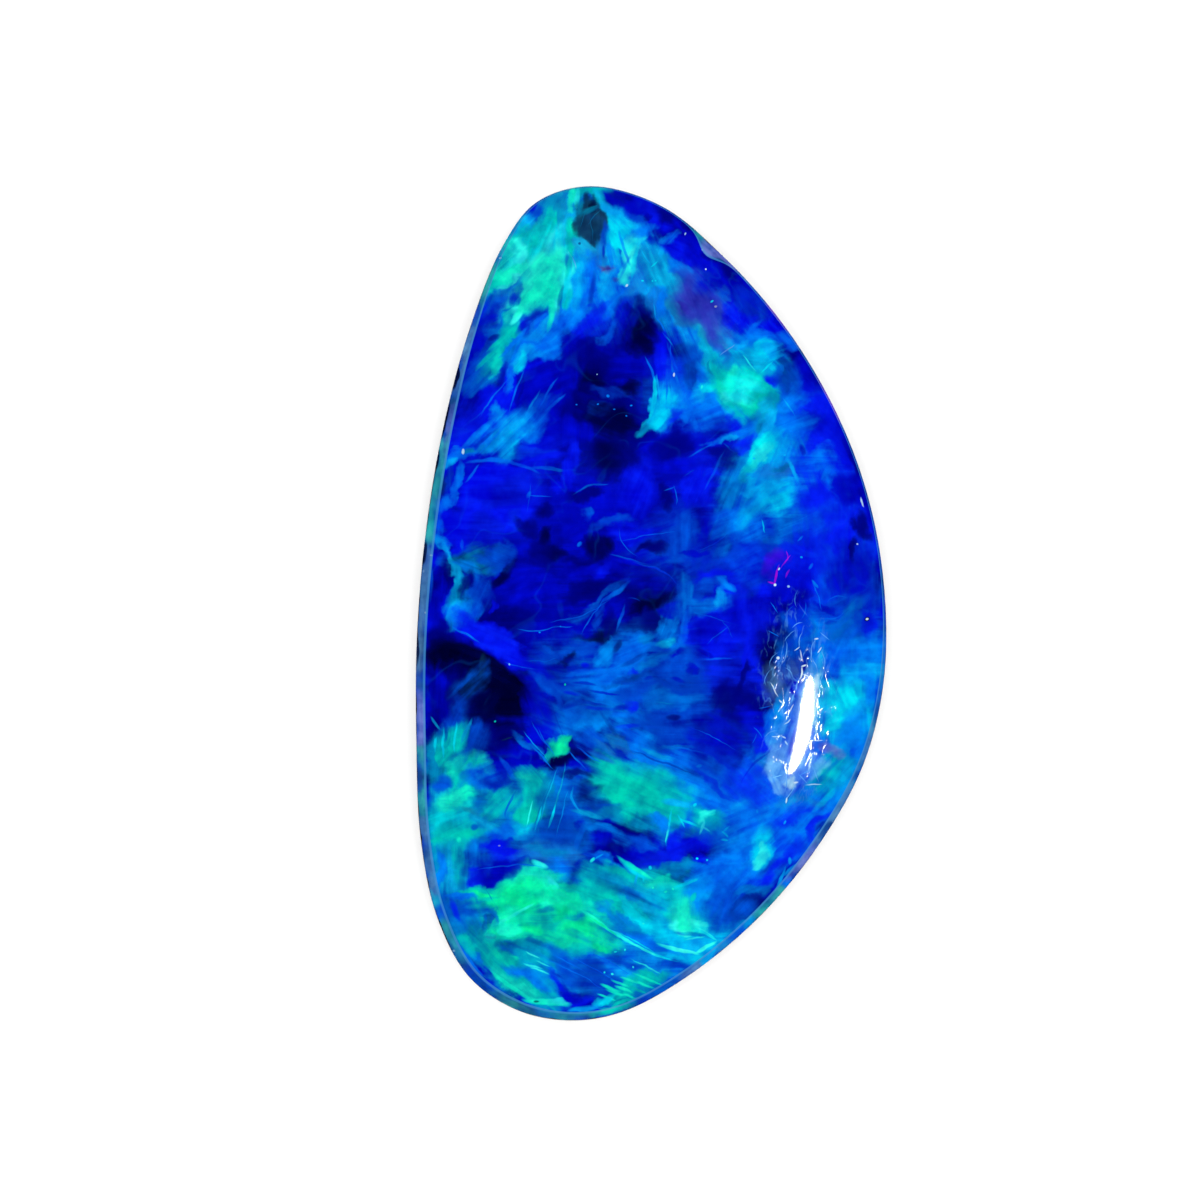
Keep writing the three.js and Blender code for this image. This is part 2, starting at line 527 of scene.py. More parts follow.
# The top: a slate hollow in a green and cyan fan, with blue beside it
TOP = [
    ("royal", -2.5, 9.7, 0.5, 0.25, 30),
    ("navy-royal", -0.6, 9.75, 0.7, 0.28, -20),
    ("royal", 0.6, 9.0, 1.0, 0.4, -35),
    ("blue", -0.05, 9.35, 0.45, 0.3, -20),
    ("navy", 0.25, 9.33, 0.24, 0.16, -30),
    ("navy", -0.26, 9.28, 0.14, 0.08, 60),
    ("navy", 0.75, 9.1, 0.3, 0.1, -35),
    ("azure-cyan", -2.1, 8.9, 0.5, 0.5, 80),
    ("sea-aqua", -2.75, 8.2, 1.3, 0.6, 60, 0, 0.8),
    ("sky", -1.95, 9.3, 0.35, 0.2, 80),
    ("teal", -2.4, 9.4, 0.3, 0.25, 60),
    ("marine", -2.75, 9.45, 0.2, 0.1, 40),
    ("sea", -2.42, 9.25, 0.24, 0.1, 80),
    ("sky", -3.05, 9.1, 0.32, 0.16, 50),
    ("teal-sky", -3.3, 8.7, 0.4, 0.2, 60),
    ("sea", -2.95, 8.75, 0.5, 0.22, 55),
    ("mint", -2.8, 8.75, 0.3, 0.1, 60),
    ("mint", -3.5, 7.75, 0.4, 0.1, 42, 0, 0.8),
    ("sea-mint", -3.0, 7.3, 0.35, 0.18, 45),
    ("sea-mint", -3.45, 8.15, 0.5, 0.28, 45),
    ("mint", -3.6, 7.85, 0.32, 0.14, 40),
    ("sea", -3.75, 7.5, 0.22, 0.12, 50),
    ("cyan", -2.2, 8.4, 0.6, 0.3, 85),
    ("aqua", -2.35, 8.1, 0.5, 0.14, 80),
    ("teal", -2.72, 8.05, 0.3, 0.06, 50, 0, 0.6),
    ("teal", -3.05, 7.85, 0.3, 0.06, 48, 0, 0.7),
    ("marine", -3.35, 7.5, 0.34, 0.08, 42),
    ("sea-mint", -2.65, 7.7, 0.75, 0.4, 55),
    ("mint", -2.6, 7.75, 0.5, 0.16, 58),
    ("mint", -2.45, 7.35, 0.4, 0.14, 65),
    ("aqua", -3.3, 8.35, 0.4, 0.12, 55),
    ("sea-cyan", -2.75, 8.75, 0.5, 0.2, 62),
    ("mint", -3.2, 6.93, 0.26, 0.16, 35),
    ("aqua", -2.35, 7.0, 0.4, 0.13, 105),
    ("aqua", -2.05, 7.9, 0.4, 0.12, 95),
    ("sea", -2.05, 7.3, 0.3, 0.12, 100),
    ("marine", -3.75, 7.1, 0.34, 0.18, 30),
    ("royal", -3.3, 7.2, 0.26, 0.12, 80),
    ("royal", -3.9, 6.8, 0.3, 0.22, 20),
    ("royal", -4.15, 6.35, 0.3, 0.14, 70),
    ("royal-blue", -2.75, 6.75, 0.38, 0.16, 50),
    ("blue", -2.58, 6.66, 0.12, 0.08, 50),
    ("teal-marine", -3.45, 6.65, 0.3, 0.14, 40),
    ("sea", -3.35, 6.4, 0.24, 0.14, 30),
    ("navy", -3.75, 6.36, 0.14, 0.06, 30),
    ("azure", -2.5, 6.38, 0.5, 0.14, 20),
    ("azure", -2.05, 6.65, 0.3, 0.22, 60),
    ("sea", -1.75, 9.9, 0.6, 0.16, 0),
    ("mint", -1.97, 9.72, 0.24, 0.08, 80),
    ("aqua", -1.78, 9.7, 0.22, 0.06, 90),
    ("sea", -1.3, 9.78, 0.2, 0.12, -30),
    ("sea-sky", -1.08, 9.5, 0.36, 0.13, -58),
    ("sky", -0.85, 9.15, 0.42, 0.2, -55),
    ("azure", -0.5, 9.22, 0.22, 0.14, -20),
    ("cyan", -0.72, 8.75, 0.4, 0.22, -50),
    ("sea", -1.85, 8.95, 0.3, 0.16, -70),
    ("sea", -1.9, 8.55, 0.26, 0.14, 80),
    ("slate-teal", -1.65, 9.4, 0.28, 0.18, -60),
    ("slate", -1.55, 9.62, 0.1, 0.13, 0),
    ("slate", -1.68, 9.2, 0.34, 0.12, 100, 0, 0.8),
    ("slate", -1.4, 9.35, 0.3, 0.2, -60),
    ("slate", -1.38, 9.05, 0.5, 0.24, 85, 0, 0.9, 0.7),
    ("slate", -1.36, 8.66, 0.16, 0.07, 90),
    ("black", -1.4, 9.55, 0.12, 0.08, 60),
    ("teal", -1.5, 9.42, 0.26, 0.014, 30, 0.04, 0.35),
    ("slate-teal", -1.5, 9.38, 0.2, 0.07, 25, 0, 0.6),
    ("teal", -1.62, 9.2, 0.2, 0.012, 70, 0, 0.35),
    ("teal", -1.4, 8.95, 0.25, 0.012, 95, 0, 0.3),
    ("teal", -1.34, 9.24, 0.2, 0.012, 50, 0, 0.3),
    ("dusk-sky", -1.6, 8.45, 0.26, 0.16, -50),
    ("marine", -1.1, 8.7, 0.36, 0.07, 85),
    ("dusk-azure", -1.28, 8.4, 0.36, 0.1, 80),
    ("royal", -1.1, 8.42, 0.14, 0.04, 90),
    ("purple", -1.12, 8.02, 0.16, 0.09, -40),
    ("violet", -0.85, 7.75, 0.08, 0.06, 0),
    ("azure", -1.52, 8.0, 0.3, 0.18, 80),
    ("azure", -1.6, 7.55, 0.5, 0.14, 80),
    ("marine", -1.4, 7.5, 0.4, 0.07, 80),
    ("sky", -1.12, 7.65, 0.32, 0.18, 60),
    ("azure", -0.9, 7.2, 0.4, 0.2, 50),
    ("cyan", -0.78, 8.62, 0.2, 0.1, -45),
    ("marine", -0.72, 8.42, 0.1, 0.05, -40),
    ("aqua", -0.45, 8.25, 0.46, 0.17, 55),
    ("aqua", -0.55, 7.95, 0.24, 0.16, 40),
    ("dusk-azure", -0.2, 7.95, 0.4, 0.2, 60, 0, 0.45),
    ("teal-sky", 0.0, 7.9, 0.4, 0.16, -65, 0, 0.5),
    ("dusk-azure", -0.45, 7.45, 0.24, 0.16, 50, 0, 0.5),
    ("azure", -0.15, 8.85, 0.3, 0.14, 60),
    ("azure-sky", 0.38, 8.78, 0.22, 0.12, 35),
    ("royal", 0.1, 8.6, 0.14, 0.1, 60),
    ("teal-sky", 0.3, 7.75, 0.6, 0.3, -70),
    ("sky", 0.27, 8.45, 0.12, 0.05, 80),
    ("blue", 0.65, 8.5, 0.34, 0.26, -30),
    ("azure", 0.65, 7.95, 0.26, 0.14, -40),
    ("royal", 1.3, 8.2, 0.5, 0.28, -45),
    ("navy", 1.75, 8.0, 0.4, 0.16, -45),
    ("azure", 0.25, 7.2, 0.3, 0.16, -70),
    ("dusk-azure", 0.0, 7.3, 0.2, 0.12, 90),
    ("sky", -0.08, 8.32, 0.22, 0.012, -62, 0, 0.7),
    ("cyan", 0.1, 8.14, 0.1, 0.015, 40),
    ("ice", -1.85, 8.22, 0.2, 0.012, -65, 0.03),
    ("marine", -1.97, 8.15, 0.2, 0.07, 100),
    ("navy", -1.7, 8.63, 0.03, 0.03, 0),
    ("blue", -1.45, 6.85, 0.5, 0.16, 48),
    ("azure", -1.8, 6.95, 0.3, 0.12, 50),
    ("royal", -0.55, 6.9, 0.4, 0.35, 60),
    ("navy", -0.3, 6.85, 0.35, 0.3, 80),
    ("black", -0.25, 6.45, 0.4, 0.34, -40),
    ("azure", -1.05, 6.45, 0.24, 0.12, 60),
    ("violet", 1.1, 7.1, 0.6, 0.4, -45, 0, 0.7),
    ("purple-violet", 1.05, 7.25, 0.35, 0.18, -50, 0, 0.4),
    ("navy-violet", 0.88, 6.95, 0.2, 0.12, -60),
    ("dusk-teal", 0.75, 6.85, 0.42, 0.12, -48),
    ("sea-sky", 1.15, 6.38, 0.2, 0.08, -40),
    ("sky", 0.1, 6.95, 0.16, 0.018, -78),
    ("azure", 0.22, 6.65, 0.2, 0.02, -62),
    ("sky", 0.38, 6.3, 0.16, 0.018, -50),
    ("azure", 0.46, 6.0, 0.16, 0.018, -85),
    ("sky", 0.53, 5.62, 0.22, 0.02, -82),
    ("blue", 0.3, 6.35, 0.14, 0.07, 90),
    ("violet-azure", 1.55, 6.5, 0.24, 0.12, -50),
    ("dusk-marine", 1.65, 7.45, 0.22, 0.14, -30),
    ("blue", 1.9, 6.9, 0.25, 0.16, -40),
]

# Under the top: a cyan tooth and a bright green spot, with black-blue between them
UNDER_TOP = [
    ("royal", -4.3, 5.6, 0.7, 0.35, 70),
    ("navy", -4.42, 4.9, 0.4, 0.22, 70),
    ("navy", -4.6, 4.35, 0.24, 0.14, 60),
    ("teal-azure", -4.05, 5.65, 0.5, 0.26, 45),
    ("sea", -3.6, 6.15, 0.55, 0.12, 48, 0, 0.8),
    ("teal", -4.0, 5.75, 0.4, 0.08, 55, 0, 0.7),
    ("mint", -3.78, 5.78, 0.24, 0.09, 52, 0, 0.7),
    ("marine", -3.95, 5.97, 0.14, 0.06, 50),
    ("royal", -3.62, 5.6, 0.28, 0.1, 60),
    ("azure", -2.7, 6.02, 0.55, 0.22, 30),
    ("sky", -3.0, 5.75, 0.45, 0.16, 38),
    ("cyan", -3.1, 5.6, 0.22, 0.1, 38),
    ("royal", -2.5, 5.3, 0.55, 0.3, 30),
    ("blue", -2.8, 5.68, 0.2, 0.06, 25),
    ("blue", -3.6, 5.05, 0.5, 0.16, 62),
    ("blue-azure", -3.45, 5.3, 0.2, 0.09, 60),
    ("navy-royal", -3.15, 5.1, 0.35, 0.12, 70),
    ("azure", -3.8, 4.95, 0.5, 0.02, 52, 0.04, 0.7),
    ("azure", -4.32, 4.38, 0.3, 0.022, 38),
    ("azure", -3.2, 5.1, 0.45, 0.022, 68),
    ("marine-azure", -2.7, 4.7, 0.5, 0.1, 50, 0, 0.5),
    ("azure", -2.45, 5.0, 0.4, 0.022, 62),
    ("sky", -2.9, 4.6, 0.45, 0.025, 58),
    ("azure", -2.3, 4.75, 0.3, 0.03, 45),
    ("navy", -2.15, 4.75, 0.22, 0.2, 60),
    ("royal", -2.5, 4.2, 0.4, 0.3, 0),
    ("sky-azure", -3.85, 4.5, 0.24, 0.13, 60),
    ("blue", -4.5, 4.1, 0.55, 0.28, 48),
    ("blue", -4.75, 3.75, 0.3, 0.24, 60),
    ("azure", -4.15, 4.05, 0.5, 0.07, 45),
    ("azure", -4.6, 3.45, 0.45, 0.16, 10),
    ("sky", -4.9, 3.3, 0.2, 0.1, 0),
    ("azure-sky", -3.6, 4.1, 0.65, 0.3, 42),
    ("azure", -3.05, 4.1, 0.45, 0.26, 40),
    ("teal-azure", -3.95, 3.72, 0.24, 0.14, 45),
    ("marine", -3.95, 3.98, 0.3, 0.03, 42, 0, 0.7),
    ("sky", -3.4, 3.85, 0.5, 0.24, 45, 0, 0.8),
    ("sky-cyan", -3.3, 3.8, 0.3, 0.14, 45, 0, 0.7),
    ("azure", -3.7, 4.05, 0.6, 0.03, 46, 0, 0.6),
    ("teal", -4.36, 3.52, 0.16, 0.09, 10),
    ("marine", -2.95, 3.6, 0.5, 0.14, 10),
    ("blue", -2.45, 3.52, 0.4, 0.07, 8),
    ("blue", -3.65, 2.55, 0.98, 0.85, 0, 0, 0.95, 0.2),
    ("royal-blue", -3.4, 2.7, 0.6, 0.3, 5),
    ("azure", -3.55, 3.44, 0.75, 0.045, -6, 0.14, 0.65),
    ("azure", -4.3, 3.12, 0.24, 0.03, 52),
    ("marine-azure", -2.35, 3.22, 0.45, 0.04, -6, 0, 0.6),
    ("marine", -4.85, 2.85, 0.34, 0.12, 88),
    ("azure", -4.6, 2.8, 0.34, 0.09, 85),
    ("slate", -4.98, 2.72, 0.34, 0.12, 92, 0, 0.8),
    ("azure", -4.8, 2.3, 0.2, 0.12, 70),
    ("azure", -2.92, 2.58, 0.09, 0.05, 60, 0, 0.7),
    ("azure", -2.9, 2.5, 0.3, 0.012, 84, 0, 0.6),
    ("azure", -2.65, 2.56, 0.26, 0.012, 0, 0, 0.65),
    ("blue", -2.15, 2.7, 0.2, 0.14, 0),
    ("navy", -2.6, 2.32, 0.24, 0.12, 0),
    ("navy", -1.0, 5.6, 0.7, 0.5, -20),
    ("royal", -0.5, 5.6, 0.4, 0.35, 0),
    ("black", -1.42, 5.1, 0.42, 0.34, 70),
    ("black", -0.15, 6.1, 0.24, 0.18, 0),
    ("navy", -1.1, 4.7, 0.9, 0.3, -15),
    ("royal-marine", -0.9, 4.95, 0.36, 0.1, -15, 0, 0.3),
    ("royal-marine", -1.25, 4.65, 0.2, 0.1, 30, 0, 0.3),
    ("black", -0.5, 4.98, 0.2, 0.12, 0),
    ("black", -0.9, 4.3, 0.55, 0.3, -25),
    ("black", -1.0, 3.5, 0.6, 0.42, -10),
    ("navy", -0.2, 3.8, 0.5, 0.35, 10),
    ("royal", -1.8, 4.2, 0.3, 0.35, 80),
    ("blue", -1.9, 3.2, 0.5, 0.14, 88),
    ("blue", 0.3, 5.85, 0.42, 0.11, 85),
    ("royal", 0.12, 5.6, 0.4, 0.14, 75),
    ("marine", 0.9, 5.75, 0.45, 0.3, -70),
    ("navy-marine", 0.95, 5.45, 0.32, 0.24, 80),
    ("azure", 0.02, 5.55, 0.36, 0.025, -68),
    ("azure", 0.52, 5.85, 0.36, 0.03, -66),
    ("sky", 0.68, 5.15, 0.34, 0.04, -74),
    ("azure", 0.75, 4.8, 0.5, 0.22, -75),
    ("azure-sky", 0.4, 4.7, 0.42, 0.3, 85, 0, 0.8),
    ("teal-cyan", 0.05, 4.42, 0.5, 0.16, 48, 0, 0.9, 0.5),
    ("sky-cyan", 0.2, 4.62, 0.42, 0.2, 60, 0, 0.9, 0.5),
    ("cyan", 0.05, 4.85, 0.5, 0.05, 84, 0, 0.9, 0.6),
    ("cyan", 0.24, 4.6, 0.32, 0.12, 62, 0, 0.9, 0.8),
    ("sky", 0.16, 5.05, 0.36, 0.022, 92),
    ("azure", 0.36, 5.0, 0.34, 0.02, 88),
    ("sky", 0.5, 4.9, 0.3, 0.02, 96),
    ("sky", 0.27, 5.15, 0.12, 0.025, 80),
    ("cyan", 0.42, 4.9, 0.22, 0.03, 92),
    ("teal", -0.15, 4.15, 0.28, 0.12, 38),
    ("sky-cyan", 0.35, 4.6, 0.34, 0.24, 50, 0, 0.7),
    ("blue", 0.55, 4.35, 0.2, 0.12, 20),
    ("azure", 0.8, 4.42, 0.24, 0.1, 60),
    ("azure", 1.25, 4.7, 0.6, 0.3, 20),
    ("sky", 1.15, 5.0, 0.34, 0.18, 30),
    ("cyan", 1.32, 5.1, 0.16, 0.12, 40),
    ("sea-sky", 1.35, 5.95, 0.5, 0.12, -62),
    ("sea", 1.75, 5.4, 0.4, 0.24, -70),
    ("teal", 1.38, 5.6, 0.16, 0.03, 100, 0.06),
    ("violet-azure", 1.6, 6.1, 0.3, 0.14, -50),
    ("ice", 1.83, 6.08, 0.2, 0.014, 40),
    ("sky", 1.85, 4.75, 0.24, 0.14, 50),
    ("blue", 1.8, 4.3, 0.24, 0.2, 40),
    ("royal", 0.5, 3.8, 0.7, 0.3, 15),
    ("royal", 0.4, 3.2, 0.6, 0.3, 10),
    ("azure", 1.75, 4.0, 0.4, 0.12, 22),
    ("sky", 1.68, 3.92, 0.2, 0.08, 20),
    ("azure", 1.2, 3.64, 0.3, 0.022, 28, 0, 0.6),
    ("azure", 1.95, 3.66, 0.25, 0.02, -38, 0, 0.5),
    ("navy", 0.6, 3.75, 0.4, 0.3, 20, 0, 0.7),
    ("navy", 1.65, 3.45, 0.3, 0.2, -30, 0, 0.7),
    ("blue", -0.35, 2.8, 0.5, 0.4, 60),
    ("blue", 1.1, 2.8, 0.45, 0.22, 75),
    ("azure", 1.5, 3.15, 0.45, 0.03, 62, 0, 0.25),
    ("teal-azure", 1.9, 2.85, 0.6, 0.24, 68, 0, 0.8),
    ("navy", 0.35, 2.5, 0.25, 0.15, 60),
    ("azure", 0.42, 2.75, 0.12, 0.015, 20, 0, 0.55),
    ("azure", 0.55, 2.6, 0.2, 0.012, -82, 0, 0.65),
    ("marine", 0.9, 3.1, 0.14, 0.013, 28, 0, 0.65),
    ("navy", -1.5, 2.6, 0.34, 0.14, 10),
    ("marine-azure", -1.55, 2.8, 0.34, 0.022, 18, 0.06, 0.6),
    ("azure", -1.18, 2.82, 0.14, 0.014, 0, 0, 0.5),
    ("teal-sky", 2.3, 5.8, 0.45, 0.35, 0),
    ("sky-cyan", 2.75, 6.1, 0.3, 0.2, 20, 0, 0.75),
    ("sky", 2.85, 6.12, 0.18, 0.08, 20),
    ("cyan", 2.8, 5.68, 0.2, 0.016, 42),
    ("aqua", 2.35, 5.78, 0.22, 0.02, -50),
    ("sea", 2.5, 4.95, 0.5, 0.35, -20),
    ("jade", 2.25, 5.0, 0.75, 0.45, -35, 0, 0.85),
    ("jade-mint", 2.12, 5.15, 0.42, 0.3, -20),
    ("aqua", 2.1, 5.05, 0.3, 0.16, 20),
    ("mint", 1.95, 5.45, 0.3, 0.12, 80),
    ("teal", 2.98, 4.75, 0.3, 0.2, -40, 0, 0.6),
    ("marine", 2.95, 5.4, 0.3, 0.16, -30, 0, 0.6),
    ("teal-sky", 2.45, 4.4, 0.4, 0.2, 30),
    ("teal", 2.6, 4.15, 0.2, 0.12, 20),
    ("marine", 3.4, 5.4, 0.4, 0.3, -60),
    ("azure", 3.05, 5.5, 0.24, 0.12, 80),
    ("blue", 2.9, 5.3, 0.2, 0.14, -20),
    ("royal", 3.75, 5.6, 0.4, 0.2, -60),
    ("azure", 3.45, 4.85, 0.4, 0.2, 40),
    ("sky", 3.3, 4.65, 0.22, 0.018, -58, 0, 0.6),
    ("blue", 3.95, 4.8, 0.42, 0.2, 25),
    ("blue", 4.2, 4.6, 0.3, 0.14, -50),
    ("royal", 3.85, 4.4, 0.4, 0.2, 0),
    ("azure", 3.35, 4.2, 0.45, 0.26, 20),
    ("blue", 4.3, 3.8, 0.45, 0.34, -40),
    ("navy", 4.75, 3.6, 0.34, 0.07, -68),
    ("navy", 4.5, 4.35, 0.2, 0.06, -60),
    ("navy", 4.92, 3.15, 0.2, 0.07, -70),
    ("azure", 2.15, 4.2, 0.3, 0.16, 30),
    ("blue", 2.15, 3.8, 0.34, 0.18, 30),
    ("sky", 2.78, 4.15, 0.4, 0.15, 65),
    ("cyan", 2.68, 3.62, 0.55, 0.17, 52),
    ("aqua", 2.62, 3.5, 0.42, 0.09, 50),
    ("sea-sky", 2.3, 3.18, 0.28, 0.13, 35),
    ("dusk-azure", 3.05, 3.2, 0.45, 0.2, 15),
    ("teal", 3.15, 3.32, 0.26, 0.1, 10),
    ("sky", 3.45, 3.2, 0.36, 0.08, 105),
    ("sky", 2.6, 2.75, 0.5, 0.12, 12),
    ("sky-cyan", 3.0, 2.5, 0.42, 0.26, 25),
    ("cyan", 2.98, 2.42, 0.26, 0.12, 20, 0, 0.8),
    ("azure", 2.4, 2.4, 0.3, 0.14, 30),
    ("royal", 3.6, 3.65, 0.12, 0.06, 100),
    ("blue-azure", 4.0, 3.4, 0.4, 0.24, 10),
    ("azure", 4.3, 3.0, 0.34, 0.14, 70),
    ("blue", 3.9, 2.6, 0.4, 0.26, 10),
    ("royal", 4.7, 2.7, 0.36, 0.26, -60),
]

